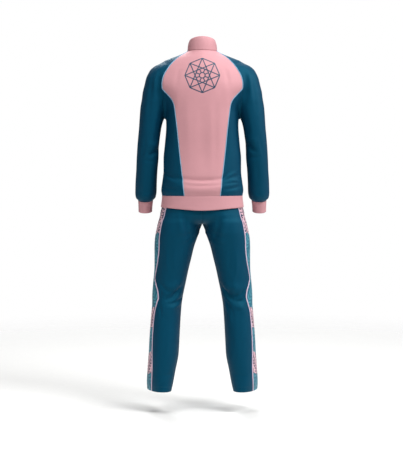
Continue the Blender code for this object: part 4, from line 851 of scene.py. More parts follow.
def stitches(name, lines, finish, step=0.0032, length=0.0023, width=0.00055, height=0.00035):
    """Rows of small stitches that lie along lines of cloth."""
    vertices, faces = [], []
    for points, normals in lines:
        run = np.concatenate([[0], np.linalg.norm(np.diff(points, axis=0), axis=1).cumsum()])
        count = max(int(run[-1] / step), 1)
        at = (np.arange(count) + 0.5) * run[-1] / count
        for s in at:
            a, b, m = (np.array([np.interp(x, run, points[:, i]) for i in range(3)]) for x in (s - length / 2, s + length / 2, s))
            n = unit(np.array([np.interp(s, run, normals[:, i]) for i in range(3)]))
            side = unit(np.cross(n, b - a)) * width / 2
            k = len(vertices)
            vertices += [a - n * 0.0001, b - n * 0.0001, m + side, m - side, m + (a - m) * 0.45 + n * height, m + (b - m) * 0.45 + n * height]
            faces += [(k, k + 2, k + 4), (k, k + 4, k + 3), (k + 2, k + 1, k + 5), (k + 1, k + 3, k + 5), (k + 2, k + 5, k + 4), (k + 3, k + 4, k + 5), (k, k + 3, k + 2), (k + 1, k + 2, k + 3)]
    mesh = bpy.data.meshes.new(name)
    mesh.from_pydata([tuple(v) for v in vertices], [], faces)
    mesh.shade_smooth()
    mesh.materials.append(finish)
    made = bpy.data.objects.new(name, mesh)
    bpy.context.scene.collection.objects.link(made)
    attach(made, "suit")
    return made


def on_cloth(cloth, line, lift=0.0):
    """A line of skin points as worn, with the normals there."""
    points, normals = cloth.dressed(line)
    return points + normals * lift, normals


# Materials


class Nodes:
    """Makes a material's nodes and links them, with numbers on the sockets and outputs as inputs."""

    def __init__(self, name):
        self.material = bpy.data.materials.new(name)
        self.material.use_nodes = True
        self.tree = self.material.node_tree
        self.shader = self.tree.nodes["Principled BSDF"]

    def add(self, kind, *inputs, **settings):
        node = self.tree.nodes.new("ShaderNode" + kind)
        for key, value in settings.items():
            setattr(node, key, value)
        for socket, value in zip(node.inputs, inputs):
            self.put(socket, value)
        return node

    def put(self, socket, value):
        if value is None:
            return
        if isinstance(value, bpy.types.NodeSocket):
            self.tree.links.new(value, socket)
        else:
            socket.default_value = value

    def math(self, operation, a, b=None, c=None):
        return self.add("Math", a, b, c, operation=operation).outputs[0]

    def mix(self, factor, a, b):
        node = self.tree.nodes.new("ShaderNodeMix")
        node.data_type = "RGBA"
        self.put(node.inputs[0], factor)
        self.put(node.inputs[6], a)
        self.put(node.inputs[7], b)
        return node.outputs[2]

    def ramp(self, value, *stops, interpolation="LINEAR"):
        node = self.add("ValToRGB", value)
        node.color_ramp.interpolation = interpolation
        elements = node.color_ramp.elements
        while len(elements) < len(stops):
            elements.new(0.5)
        for element, (at, colour) in zip(elements, stops):
            element.position = at
            element.color = colour
        return node.outputs[0]

    def range(self, value, low, high):
        return self.add("MapRange", value, 0.0, 1.0, low, high).outputs[0]

    def set(self, **values):
        for key, value in values.items():
            self.put(self.shader.inputs[key.replace("_", " ")], value)

    def bump(self, *layers):
        """Bumps from fine to coarse: height, depth in metres, strength."""
        normal = None
        for height, depth, strength in layers:
            node = self.add("Bump")
            node.inputs["Strength"].default_value = strength
            node.inputs["Distance"].default_value = depth
            self.put(node.inputs["Height"], height)
            if normal is not None:
                self.put(node.inputs["Normal"], normal)
            normal = node.outputs[0]
        self.put(self.shader.inputs["Normal"], normal)


def cloth_metres(n):
    """Across and along the cloth, in metres, and places on the object."""
    uv = n.add("SeparateXYZ", n.add("UVMap", uv_map="cloth").outputs[0])
    place = n.add("TexCoord").outputs["Object"]
    return uv.outputs[0], uv.outputs[1], place


def noise(n, place, scale, detail=2.0, roughness=0.5):
    node = n.add("TexNoise", noise_dimensions="3D")
    n.put(node.inputs["Vector"], place)
    node.inputs["Scale"].default_value = scale
    node.inputs["Detail"].default_value = detail
    node.inputs["Roughness"].default_value = roughness
    return node.outputs[0]


def loops(n, u, v, wale, course):
    """Height of a plain knit: columns of small V-shaped loops."""
    rise = n.math("PINGPONG", n.math("DIVIDE", v, course), 0.5)
    across = n.math("ADD", n.math("DIVIDE", u, wale), n.math("MULTIPLY", rise, 0.7))
    return n.math("ABSOLUTE", n.math("SINE", n.math("MULTIPLY", across, math.pi)))


def tint(colour, factor):
    return tuple(min(c * factor, 1.0) for c in colour[:3]) + (1.0,)


def knit(name, colour, worn, roughness=(0.50, 0.64), sheen=0.1, sheen_tint=(1, 1, 1, 1), gloss=0.25, gloss_tint=(1, 1, 1, 1),
         wale=0.0011, course=0.0009, depth=0.00022, mottle=0.08):
    """A knitted cloth: small loops, a soft sheen, and a colour that varies a little over the cloth, with painted shade
    darkening the hollows between the loops.
    """
    n = Nodes(name)
    u, v, place = cloth_metres(n)
    knitted = loops(n, u, v, wale, course)
    large, small = noise(n, place, 9.0, 3.0), noise(n, place, 260.0, 2.0)
    shade = n.mix(n.range(large, 0.0, 1.0), tint(colour, 1 - mottle), tint(colour, 1 + mottle))
    shade = n.mix(n.math("MULTIPLY", small, 0.22), shade, worn)
    # painted shade: the colour darkens in the hollows between the knit loops, where shade falls
    shade = n.mix(n.math("MULTIPLY", n.math("SUBTRACT", 1.0, knitted), 0.18), shade, tint(colour, 0.55))
    n.set(Base_Color=shade, Roughness=n.range(small, *roughness))
    n.set(Sheen_Weight=sheen, Sheen_Roughness=0.4, Sheen_Tint=sheen_tint, Specular_IOR_Level=gloss, Specular_Tint=gloss_tint)
    n.bump((knitted, depth, 0.55), (small, 0.0004, 0.25))
    n.material.diffuse_color = colour
    return n


def ribbed(name, colour, worn, pitch=0.0026, depth=0.0006, **more):
    """A rib knit: raised wales side by side over the fine loops."""
    n = knit(name, colour, worn, **more)
    u, v, place = cloth_metres(n)
    rib = n.math("SINE", n.math("MULTIPLY", u, 2 * math.pi / pitch))
    rib = n.range(n.math("ADD", n.math("MULTIPLY", rib, 0.5), 0.5), 0.0, 1.0)
    fine = loops(n, u, v, pitch / 2, 0.0009)
    n.bump((fine, 0.00018, 0.5), (rib, depth, 0.5))
    return n


def plain(name, colour, roughness, metallic=0.0, weave=0.0):
    """A small trim: its colour varies a little, with a fine weave or brushing."""
    n = Nodes(name)
    place = n.add("TexCoord").outputs["Object"]
    small = noise(n, place, 900.0, 3.0)
    large = noise(n, place, 60.0)
    shade = n.mix(n.range(large, 0.0, 1.0), tint(colour, 0.88), tint(colour, 1.12))
    n.set(Base_Color=shade, Roughness=n.range(small, roughness * 0.8, min(roughness * 1.2, 1.0)))
    n.set(Metallic=metallic)
    if weave:
        u, v, _ = cloth_metres(n)
        warp = n.math("SINE", n.math("MULTIPLY", u, 2 * math.pi / weave))
        weft = n.math("SINE", n.math("MULTIPLY", v, 2 * math.pi / weave))
        n.bump((n.math("MULTIPLY", warp, weft), 0.0002, 0.6))
    else:
        n.bump((small, 0.0001, 0.2))
    n.material.diffuse_color = (*colour[:3], 1.0)
    return n


PINK_COLOUR = (0.560, 0.268, 0.296, 1.0)
PINK_WORN = (0.67, 0.38, 0.40, 1.0)
TEAL_COLOUR = (0.0012, 0.0285, 0.0700, 1.0)
TEAL_WORN = (0.002, 0.052, 0.100, 1.0)
PINK_SHEEN, TEAL_SHEEN = (1.0, 0.8, 0.8, 1.0), (0.2, 0.6, 0.8, 1.0)

PINK = knit("pink knit cloth", PINK_COLOUR, PINK_WORN, sheen_tint=PINK_SHEEN).material
TEAL_GLOSS = (0.05, 0.78, 1.0, 1.0)
TEAL = knit("teal knit cloth", TEAL_COLOUR, TEAL_WORN, roughness=(0.55, 0.67), sheen=0.0, sheen_tint=TEAL_SHEEN,
            gloss=0.50, gloss_tint=TEAL_GLOSS).material
PINK_RIB = ribbed("pink rib cloth", PINK_COLOUR, PINK_WORN, sheen_tint=PINK_SHEEN).material
TEAL_RIB = ribbed("teal rib cloth", TEAL_COLOUR, TEAL_WORN, sheen_tint=TEAL_SHEEN, gloss=0.6,
                  gloss_tint=TEAL_GLOSS).material
PIPING = plain("pale blue satin", (0.19, 0.40, 0.58), 0.42, weave=0.0008).material
STRIPE = plain("lilac tape", (0.60, 0.46, 0.58), 0.6, weave=0.0009).material
TAPE = plain("woven zip tape", (0.55, 0.25, 0.28), 0.8, weave=0.0010).material
TEETH = plain("moulded zip coil", (0.57, 0.27, 0.30), 0.35).material
METAL = plain("brushed metal", (0.62, 0.63, 0.66), 0.28, metallic=1.0).material
PINK_THREAD = plain("pink thread", (0.66, 0.36, 0.39), 0.6).material
TEAL_THREAD = plain("teal thread", (0.004, 0.050, 0.10), 0.6).material
PALE_THREAD = plain("pale thread", (0.66, 0.60, 0.72), 0.6).material
PRINT_INK = plain("teal print", (0.004, 0.045, 0.090), 0.45).material


VEIN = 0.0004  # half the gap along a printed leaf's middle
STEM = 0.0005  # half the width of a printed stem


def leaf(n, along, aside, length, width):
    """1 inside a leaf that runs from 0 to its length, and 0 outside it, with a vein left open."""
    part = n.math("DIVIDE", along, length)
    inside = n.math("MULTIPLY", n.math("GREATER_THAN", part, 0.0), n.math("LESS_THAN", part, 1.0))
    bulge = n.math("SINE", n.math("MULTIPLY", n.math("POWER", n.math("MAXIMUM", part, 0.0), 0.8), math.pi))
    away = n.math("ABSOLUTE", aside)
    blade = n.math("LESS_THAN", away, n.math("MULTIPLY", bulge, width))
    vein = n.math("GREATER_THAN", away, VEIN)
    return n.math("MULTIPLY", n.math("MULTIPLY", inside, blade), vein)


def fronds(n, u, v, turn, apart, pitch, length, width):
    """Fronds side by side, turned by an angle: stems with a pair of leaves at each pitch."""
    c, s = math.cos(turn), math.sin(turn)
    across = n.math("SUBTRACT", n.math("MULTIPLY", u, c), n.math("MULTIPLY", v, s))
    along = n.math("ADD", n.math("MULTIPLY", u, s), n.math("MULTIPLY", v, c))
    column = n.math("FLOOR", n.math("DIVIDE", across, apart))
    along = n.math("ADD", along, n.math("MULTIPLY", n.math("PINGPONG", column, 1.0), pitch / 2))
    x = n.math("SUBTRACT", n.math("MULTIPLY", n.math("FRACT", n.math("DIVIDE", across, apart)), apart), apart / 2)
    y = n.math("MULTIPLY", n.math("FRACT", n.math("DIVIDE", along, pitch)), pitch)
    x = n.math("ABSOLUTE", x)
    total = n.math("LESS_THAN", x, STEM)
    c, s = math.cos(math.radians(48)), math.sin(math.radians(48))
    for lower in (0.0, pitch):
        height = n.math("ADD", y, lower)
        out = n.math("ADD", n.math("MULTIPLY", x, s), n.math("MULTIPLY", height, c))
        aside = n.math("SUBTRACT", n.math("MULTIPLY", x, c), n.math("MULTIPLY", height, s))
        total = n.math("MAXIMUM", total, leaf(n, out, aside, length, width))
    return total


def printed_panel():
    """The side panel's print: pink, teal and navy blocks by height with rows of leaves."""
    n = knit("printed panel cloth", (0.06, 0.21, 0.27, 1.0), (0.2, 0.4, 0.45, 1.0), gloss=0.2)
    u, v, place = cloth_metres(n)
    height = n.add("SeparateXYZ", place).outputs[2]
    slant = n.math("MULTIPLY", n.math("PINGPONG", n.math("ADD", u, 0.2), 0.03), 0.5)
    low, high = -1.48, -0.60
    at = n.add("MapRange", n.math("ADD", height, slant), low, high, 0.0, 1.0).outputs[0]
    pink, navy = (0.76, 0.47, 0.53, 1.0), (0.0016, 0.020, 0.055, 1.0)
    teal, light = (0.012, 0.125, 0.190, 1.0), (0.085, 0.33, 0.41, 1.0)
    # upper edge of each block, its ground and its marks
    blocks = ((-1.397, teal, light), (-1.303, pink, navy), (-1.198, teal, light), (-1.109, pink, navy),
              (-0.784, teal, light), (-0.722, pink, navy), (high, navy, pink))
    starts = [low] + [top for top, _, _ in blocks[:-1]]
    places = [(z - low) / (high - low) for z in starts]
    ground = n.ramp(at, *((p, b[1]) for p, b in zip(places, blocks)), interpolation="CONSTANT")
    marks = n.ramp(at, *((p, b[2]) for p, b in zip(places, blocks)), interpolation="CONSTANT")
    is_teal = n.ramp(at, *((p, (float(b[1] is teal),) * 3 + (1.0,)) for p, b in zip(places, blocks)), interpolation="CONSTANT")
    wander = n.math("MULTIPLY", n.math("SUBTRACT", noise(n, place, 22.0, 1.0), 0.5), 0.012)
    u, v = n.math("ADD", u, wander), n.math("SUBTRACT", v, wander)
    broad = fronds(n, u, v, math.radians(24), 0.038, 0.0145, 0.022, 0.0044)
    slim = fronds(n, u, v, math.radians(-36), 0.050, 0.0170, 0.030, 0.0032)
    shown = n.mix(is_teal, broad, slim)
    shade = n.mix(shown, ground, marks)
    large = noise(n, place, 9.0, 3.0)
    shade = n.mix(n.math("MULTIPLY", large, 0.12), shade, (0.02, 0.08, 0.12, 1.0))
    n.set(Base_Color=shade)
    return n.material


PRINTED = printed_panel()

# Finer creases than the solids carry: cloth, side, three points, half width, height
JACKET.folds += [JACKET.laid(*fold) for fold in (
    (1, (0.110, -0.572), (0.000, -0.596), (-0.110, -0.572), 0.0065, -0.0040),
    (1, (0.090, -0.558), (0.000, -0.580), (-0.085, -0.556), 0.0070, 0.0026),
    (1, (0.100, -0.596), (0.000, -0.612), (-0.100, -0.596), 0.0090, 0.0022),
    (1, (-0.071, -0.563), (-0.118, -0.548), (-0.150, -0.520), 0.0055, 0.0030),
    (1, (-0.080, -0.553), (-0.105, -0.540), (-0.128, -0.508), 0.0070, -0.0028),
    (1, (-0.095, -0.576), (-0.125, -0.572), (-0.158, -0.566), 0.0055, -0.0030),
    (1, (-0.110, -0.556), (-0.135, -0.556), (-0.160, -0.566), 0.0055, 0.0024),
    (1, (0.168, -0.524), (0.150, -0.546), (0.112, -0.560), 0.0050, -0.0026),
    (1, (0.172, -0.538), (0.150, -0.558), (0.105, -0.572), 0.0055, 0.0022),
    (1, (0.060, -0.230), (0.064, -0.360), (0.056, -0.500), 0.0150, 0.0018),
    (1, (-0.052, -0.220), (-0.060, -0.350), (-0.054, -0.520), 0.0150, -0.0020),
    (1, (0.095, -0.075), (0.110, -0.110), (0.112, -0.170), 0.0110, -0.0022),
    (1, (-0.095, -0.075), (-0.110, -0.110), (-0.112, -0.170), 0.0110, -0.0022),
    (1, (0.192, -0.090), (0.208, -0.140), (0.206, -0.200), 0.0085, 0.0030),
    (1, (-0.195, -0.085), (-0.210, -0.140), (-0.208, -0.210), 0.0085, 0.0030),
    (1, (0.212, -0.110), (0.228, -0.200), (0.234, -0.330), 0.0100, -0.0022),
    (1, (-0.215, -0.110), (-0.230, -0.200), (-0.236, -0.330), 0.0100, -0.0022),
    (1, (0.196, -0.260), (0.212, -0.340), (0.222, -0.420), 0.0100, 0.0026),
    (1, (-0.196, -0.250), (-0.212, -0.330), (-0.224, -0.400), 0.0100, 0.0026),
    (1, (0.226, -0.470), (0.238, -0.540), (0.240, -0.610), 0.0120, -0.0022),
    (1, (-0.228, -0.460), (-0.240, -0.530), (-0.242, -0.610), 0.0120, -0.0022),
    (1, (0.198, -0.470), (0.222, -0.484), (0.258, -0.470), 0.0080, -0.0026),
    (1, (-0.198, -0.455), (-0.222, -0.468), (-0.258, -0.455), 0.0080, -0.0026),
    (1, (0.246, -0.370), (0.250, -0.420), (0.266, -0.470), 0.0080, -0.0022),
    (1, (-0.246, -0.360), (-0.252, -0.410), (-0.268, -0.460), 0.0080, -0.0022),
    (1, (0.228, -0.600), (0.240, -0.622), (0.268, -0.628), 0.0060, -0.0014),
    (1, (-0.228, -0.600), (-0.240, -0.622), (-0.268, -0.628), 0.0060, -0.0014),
    (-1, (0.030, -0.300), (0.040, -0.420), (0.034, -0.560), 0.0140, 0.0020),
    (-1, (-0.034, -0.280), (-0.046, -0.400), (-0.038, -0.560), 0.0140, -0.0020),
    (-1, (0.060, -0.570), (0.100, -0.575), (0.150, -0.560), 0.0060, 0.0026),
    (-1, (-0.060, -0.575), (-0.100, -0.570), (-0.150, -0.556), 0.0060, 0.0026),
    (-1, (0.085, -0.545), (0.115, -0.535), (0.150, -0.510), 0.0060, -0.0024),
    (-1, (-0.085, -0.545), (-0.120, -0.540), (-0.152, -0.515), 0.0060, -0.0024),
    (-1, (0.100, -0.080), (0.118, -0.120), (0.120, -0.180), 0.0110, -0.0020),
    (-1, (-0.100, -0.080), (-0.118, -0.120), (-0.120, -0.180), 0.0110, -0.0020),
    (-1, (0.200, -0.400), (0.214, -0.424), (0.262, -0.424), 0.0080, 0.0026),
    (-1, (-0.200, -0.400), (-0.214, -0.424), (-0.262, -0.424), 0.0080, 0.0026),
    (-1, (0.204, -0.460), (0.225, -0.478), (0.266, -0.486), 0.0085, -0.0026),
    (-1, (-0.204, -0.460), (-0.225, -0.478), (-0.266, -0.486), 0.0085, -0.0026),
    (-1, (0.215, -0.120), (0.232, -0.220), (0.238, -0.360), 0.0110, -0.0022),
    (-1, (-0.215, -0.120), (-0.232, -0.220), (-0.238, -0.360), 0.0110, -0.0022),
)]
TROUSERS.folds += [TROUSERS.laid(*fold) for fold in (
    (1, (0.000, -0.660), (0.000, -0.740), (0.000, -0.790), 0.0450, -0.0110),
    (1, (0.076, -0.712), (0.070, -0.770), (0.046, -0.822), 0.0100, -0.0050),
    (1, (-0.074, -0.712), (-0.068, -0.770), (-0.044, -0.820), 0.0100, -0.0050),
    (1, (0.100, -0.700), (0.098, -0.760), (0.074, -0.830), 0.0130, 0.0040),
    (1, (-0.100, -0.700), (-0.098, -0.760), (-0.074, -0.830), 0.0130, 0.0040),
    (1, (0.152, -0.850), (0.158, -0.900), (0.146, -0.960), 0.0075, 0.0022),
    (1, (0.118, -0.820), (0.124, -0.890), (0.116, -0.970), 0.0110, 0.0020),
    (1, (-0.146, -0.870), (-0.152, -0.930), (-0.142, -0.990), 0.0085, 0.0026),
    (1, (-0.118, -0.830), (-0.122, -0.900), (-0.114, -0.970), 0.0100, -0.0018),
    (1, (0.184, -1.000), (0.158, -1.050), (0.104, -1.044), 0.0090, -0.0050),
    (1, (0.080, -1.062), (0.110, -1.096), (0.156, -1.094), 0.0055, -0.0060),
    (1, (0.090, -1.088), (0.114, -1.112), (0.150, -1.112), 0.0085, 0.0040),
    (1, (0.184, -1.104), (0.176, -1.130), (0.182, -1.158), 0.0050, -0.0040),
    (1, (0.118, -1.030), (0.126, -1.050), (0.150, -1.046), 0.0060, 0.0026),
    (1, (-0.082, -1.012), (-0.106, -1.090), (-0.184, -1.082), 0.0080, -0.0065),
    (1, (-0.150, -1.082), (-0.180, -1.084), (-0.188, -1.052), 0.0070, -0.0045),
    (1, (-0.126, -0.960), (-0.144, -1.010), (-0.142, -1.058), 0.0120, 0.0035),
    (1, (-0.130, -1.100), (-0.160, -1.112), (-0.178, -1.110), 0.0090, 0.0035),
    (1, (-0.160, -1.060), (-0.172, -1.052), (-0.178, -1.030), 0.0070, -0.0032),
    (1, (-0.106, -1.088), (-0.128, -1.112), (-0.134, -1.158), 0.0065, -0.0026),
    (1, (-0.100, -1.100), (-0.112, -1.130), (-0.122, -1.175), 0.0065, 0.0020),
    (1, (0.178, -1.060), (0.192, -1.100), (0.180, -1.160), 0.0060, 0.0024),
    (1, (0.140, -1.180), (0.146, -1.260), (0.152, -1.340), 0.0130, 0.0018),
    (1, (-0.142, -1.180), (-0.150, -1.260), (-0.156, -1.340), 0.0130, 0.0018),
    (1, (0.130, -1.395), (0.160, -1.410), (0.195, -1.400), 0.0090, -0.0022),
    (1, (-0.130, -1.395), (-0.160, -1.410), (-0.195, -1.400), 0.0090, -0.0022),
    (1, (0.020, -0.790), (0.050, -0.826), (0.090, -0.840), 0.0080, -0.0024),
    (1, (-0.020, -0.790), (-0.050, -0.826), (-0.090, -0.840), 0.0080, -0.0024),
    (-1, (0.060, -0.780), (0.110, -0.776), (0.160, -0.748), 0.0080, 0.0022),
    (-1, (-0.060, -0.780), (-0.110, -0.776), (-0.160, -0.748), 0.0080, 0.0022),
    (-1, (0.118, -0.860), (0.132, -0.960), (0.140, -1.060), 0.0120, 0.0022),
    (-1, (-0.118, -0.860), (-0.132, -0.960), (-0.140, -1.060), 0.0120, 0.0022),
    (-1, (0.105, -1.150), (0.150, -1.172), (0.195, -1.150), 0.0100, -0.0026),
    (-1, (-0.105, -1.150), (-0.150, -1.172), (-0.195, -1.150), 0.0100, -0.0026),
    (-1, (0.150, -1.395), (0.190, -1.404), (0.232, -1.390), 0.0085, 0.0026),
    (-1, (-0.150, -1.395), (-0.190, -1.404), (-0.232, -1.390), 0.0085, 0.0026),
)]


# The jacket


def sleeve_cloth(name, mirror, node):
    net, closed = sleeve_net()
    base = pulled_in(net)
    base[:closed, 0] = base[:closed, -1] = net[:closed, 0]
    base[0, 0] = base[0, -1] = net[0, 0] + unit(net[1, 0] - net[0, 0]) * SEAM_GAP / 2
    down = unit(net[closed - 2, 0] - net[closed - 1, 0])
    base[closed - 1, 0] = base[closed - 1, -1] = net[closed - 1, 0] + down * SEAM_GAP / 2
    if mirror:
        base = base * MIRROR
    points, normals = JACKET.dressed(base)
    sink = edge_rows(base, "lrbt")
    sink[: closed - 1, 0] = sink[: closed - 1, -1] = 0.0
    sink[: closed - 1, 1] = sink[: closed - 1, -2] = 0.0
    sink[0] = SEAM_SINK
    points = points - normals * sink[..., None]
    made = thin_shell(name, points, normals, TEAL, CLOTH, flip=mirror, joined=closed)
    put(made, node)
    return points, normals


def cuff_cloth(name, mirror, node):
    heights = np.linspace(CUFF_END, CUFF_SEAM, 13)
    net = np.stack([ring(z, 0.0, math.radians(WRIST_TILT), SLEEVE_COLUMNS) for z in heights])
    net[-1] = ring(CUFF_SEAM, *lean(CUFF_SEAM), SLEEVE_COLUMNS)
    net[:, -1] = net[:, 0]
    net = pulled_in(net, closed=True)
    cloth_piece(name, JACKET, net, PINK_RIB, node, BAND, mirror, joined=len(heights), sewn="t")


def collar_cloth():
    front = np.linspace(NECK_AT_ZIP, NECK_AT_FRONT_SEAM, FRONT_COLUMNS + 1)
    over = np.linspace(NECK_AT_FRONT_SEAM, NECK_AT_BACK_SEAM, SLEEVE_COLUMNS // 2 + 1)
    half = np.concatenate([front, over[1:]])
    behind = np.linspace(NECK_AT_BACK_SEAM, math.pi - NECK_AT_BACK_SEAM, BACK_COLUMNS + 1)
    angle = np.concatenate([half, behind[1:-1], (math.pi - half)[::-1]])
    base = neck_ring(angle)
    width, depth_back, depth_front = 0.0570, 0.0600, 0.0700
    end = -math.acos(ZIP_GAP / width)
    turn = math.pi / 2 + (angle - math.pi / 2) * (math.pi / 2 - end) / (math.pi / 2 - angle[0])
    depth = np.where(np.sin(turn) > 0, depth_back, depth_front)
    rise = (COLLAR_RISE_BACK + COLLAR_RISE_FRONT) / 2
    swing = (COLLAR_RISE_BACK - COLLAR_RISE_FRONT) / 2
    top = np.stack([width * np.cos(turn), depth * np.sin(turn), rise + swing * np.sin(turn)], -1)
    s = np.linspace(0, 1, 16)[:, None, None]
    net = (1 - s) * base + s * top
    outward = turned(angle)
    net = net + outward * (0.0035 * np.sin(math.pi * s) - 0.0030 * np.sin(math.pi * s) * (1 - s))
    net[0] += unit(net[1] - net[0]) * SEAM_GAP
    net[:, 0, 0], net[:, -1, 0] = ZIP_GAP, -ZIP_GAP
    normals = net_normals(net)
    points = net.copy()
    points[0] -= normals[0] * SEAM_SINK
    made = thin_shell("collar_rib", points, normals, PINK_RIB, BAND)
    put(made, "collar")
    return net, normals


def hem_cloth(fronts, sides, backs):
    half = np.concatenate([fronts[0], sides[0, 1:]])
    seam = np.concatenate([half, backs[0, 1:-1], (half * MIRROR)[::-1]])
    angle = np.unwrap(np.arctan2(seam[:, 1], seam[:, 0]))
    sine = np.sin(angle)
    edge = HEM_SIDE - np.where(sine > 0, HEM_BACK_DROP, HEM_FRONT_DROP) * sine**2
    rows = [hem_ring(angle, edge + (HEM_SEAM - edge) * s) for s in np.linspace(0, 1, 13)[:-1]] + [seam]
    net = pulled_in(np.stack(rows))
    net[:, 0, 0], net[:, -1, 0] = ZIP_GAP, -ZIP_GAP
    return cloth_piece("hem_rib", JACKET, net, PINK_RIB, "hem_band", BAND, sewn="t")


def straight(points, normals, along, off):
    """A line beside a net's edge, for stitches: the edge's points moved along the net."""
    return points + along * off, normals


def zip_cloth(name, pieces, side, node):
    depth = BAND + 0.0006
    strips = [zip_line(pieces, side, x) for x in np.linspace(ZIP_TEETH_HALF + 0.0004, ZIP_TAPE_HALF, 5)]
    if side < 0:
        strips = strips[::-1]
    net = np.stack([p - n * depth for p, n in strips], 1)
    normals = np.stack([n for _, n in strips], 1)
    made = thin_shell(name, net, normals, TAPE, ZIP_TAPE_THICKNESS)
    put(made, node)


def zip_coil(points, normals):
    """The closed coil: small teeth from both sides that lie between each other along the middle."""
    run = np.concatenate([[0], np.linalg.norm(np.diff(points, axis=0), axis=1).cumsum()])
    pitch, vertices, faces = 0.0014, [], []
    count = int(run[-1] / pitch * 2)
    for k in range(count):
        s = (k + 0.5) * run[-1] / count
        at = np.array([np.interp(s, run, points[:, i]) for i in range(3)])
        n = unit(np.array([np.interp(s, run, normals[:, i]) for i in range(3)]))
        ahead = np.array([np.interp(s + 0.0005, run, points[:, i]) for i in range(3)])
        behind = np.array([np.interp(s - 0.0005, run, points[:, i]) for i in range(3)])
        up = unit(ahead - behind)
        x = np.array([1.0, 0.0, 0.0])
        side = 1 if k % 2 else -1
        low = at - n * 0.0019
        half = pitch * 0.36
        base = len(vertices)
        section = [(3.0, 0.0, 0.55), (3.0, 0.9, 0.50), (1.6, 1.5, 0.9), (-0.3, 1.45, 1.15), (-0.9, 0.9, 0.75), (-0.3, 0.1, 0.9)]
        for across, rise, wide in section:
            for sign in (-1, 1):
                vertices.append(low + x * side * across * 0.001 + n * rise * 0.001 + up * sign * half * wide)
        m = len(section)
        for i in range(m):
            j = (i + 1) % m
            quad = (base + 2 * i, base + 2 * i + 1, base + 2 * j + 1, base + 2 * j)
            faces.append(quad if side > 0 else quad[::-1])
        first = tuple(base + 2 * i for i in range(m))
        last = tuple(base + 2 * i + 1 for i in reversed(range(m)))
        faces += [first, last] if side > 0 else [first[::-1], last[::-1]]
    mesh = bpy.data.meshes.new("zip_coil")
    mesh.from_pydata([tuple(v) for v in vertices], [], faces)
    mesh.shade_smooth()
    mesh.set_sharp_from_angle(angle=math.radians(40))
    mesh.materials.append(TEETH)
    made = bpy.data.objects.new("zip_coil", mesh)
    bpy.context.scene.collection.objects.link(made)
    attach(made, "suit")
    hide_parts("zip_teeth")


def lined(points, count=0.004):
    """The same line with points this far apart."""
    length = np.linalg.norm(np.diff(points, axis=0), axis=1).sum()
    return evenly(points, max(int(length / count), 4))


def back_print():
    """A quilt star in line work on the upper back: a generic ornament."""
    middle = np.array([0.0, -0.112])
    lines = []

    def at(radius, angle):
        return middle + radius * np.array([math.sin(angle), math.cos(angle)])

    turn = 2 * math.pi / 8
    for k in range(8):
        lines.append([at(0.0745, k * turn), at(0.0745, (k + 3) * turn)])
        lines.append([at(0.0745, k * turn), at(0.0745, (k + 1) * turn)])
        lines.append([at(0.0290, (k + 0.5) * turn), at(0.0120, (k + 0.5) * turn)])
    lines.append([at(0.0120, a) for a in np.linspace(0, 2 * math.pi, 25)])
    vertices, faces = [], []
    for line in lines:
        line = np.array(line)
        line = evenly(np.stack([line[:, 0], 0 * line[:, 0], line[:, 1]], -1), max(int(np.linalg.norm(np.diff(line, axis=0), axis=1).sum() / 0.003), 2))
        skin = across_face(jacket_skin, line[:, 0], line[:, 2], 1)
        points, normals = on_cloth(JACKET, skin, 0.0004)
        side = unit(np.cross(normals, np.gradient(points, axis=0))) * 0.0021
        k = len(vertices)
        for p, s, n in zip(points, side, normals):
            vertices += [p - s - n * 0.0004, p - s, p + s, p + s - n * 0.0004]
        for i in range(len(points) - 1):
            for j in range(3):
                faces.append((k + 4 * i + j + 1, k + 4 * i + j, k + 4 * i + 4 + j, k + 4 * i + 5 + j))
    mesh = bpy.data.meshes.new("back_print")
    mesh.from_pydata([tuple(v) for v in vertices], [], faces)
    mesh.materials.append(PRINT_INK)
    made = bpy.data.objects.new("back_print", mesh)
    bpy.context.scene.collection.objects.link(made)
    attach(made, "suit")


back, front, side = back_net(), front_net(), side_net()
cloth_piece("back_panel", JACKET, pulled_in(back), PINK, "jacket_back")
worn = {}
for which, mirror in (("left", False), ("right", True)):
    worn[which] = cloth_piece("front_panel_" + which, JACKET, pulled_in(front), PINK, "jacket_front_" + which,
                              mirror=mirror, sewn="rbt")
    cloth_piece("side_panel_" + which, JACKET, pulled_in(side), TEAL, "jacket_side_" + which, mirror=mirror)
    sleeve_cloth("sleeve_cloth_" + which, mirror, "sleeve_" + which)
    cuff_cloth("cuff_rib_" + which, mirror, "cuff_" + which)
    flip = MIRROR if mirror else 1.0
    for where, face in (("back", 1), ("front", -1)):
        for seam, line in (("raglan", raglan_seam(60, face)), ("side", lined(side_seam(face)))):
            line = line.copy()
            line[0] += unit(line[1] - line[0]) * 0.0010
            line[-1] += unit(line[-2] - line[-1]) * 0.0010
            points, normals = on_cloth(JACKET, line * flip)
            made = profile_strip(f"{seam}_cord_{where}_{which}", points, normals, PIPING_WIDTH, 0.0013, PIPING)
            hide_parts(f"{seam}_piping_{where}_{which}")
neck = collar_cloth()
hem = hem_cloth(front, side, back)
turned_right = tuple(net[:, ::-1] for net in worn["right"])
left, right = (hem, worn["left"], neck), (hem, turned_right, neck)
zip_cloth("zip_tape_cloth_left", left, 1, "zip_tape_left")
zip_cloth("zip_tape_cloth_right", right, -1, "zip_tape_right")
points, normals = middle_line(left, right)
slider = slider_frame(points, normals, 0.0085)
below = (points[:, 2] < slider.translation[2]) & (np.linalg.norm(points - np.array(slider.translation), axis=1) > 0.0075)
start = np.array(slider @ Matrix.Translation((0, -0.0068, 0))).T[3, :3]
zip_coil(np.vstack([points[below], start]), np.vstack([normals[below], normals[below][-1]]))
back_print()

# Topstitches beside the zip
for which, pieces, sign in (("left", left, 1), ("right", right, -1)):
    lines = []
    for off in (0.0022, 0.0085):
        line, up = zip_line(pieces, sign, ZIP_GAP + off)
        lines.append((line, up))
    made = stitches("zip_stitches_" + which, lines, PINK_THREAD)

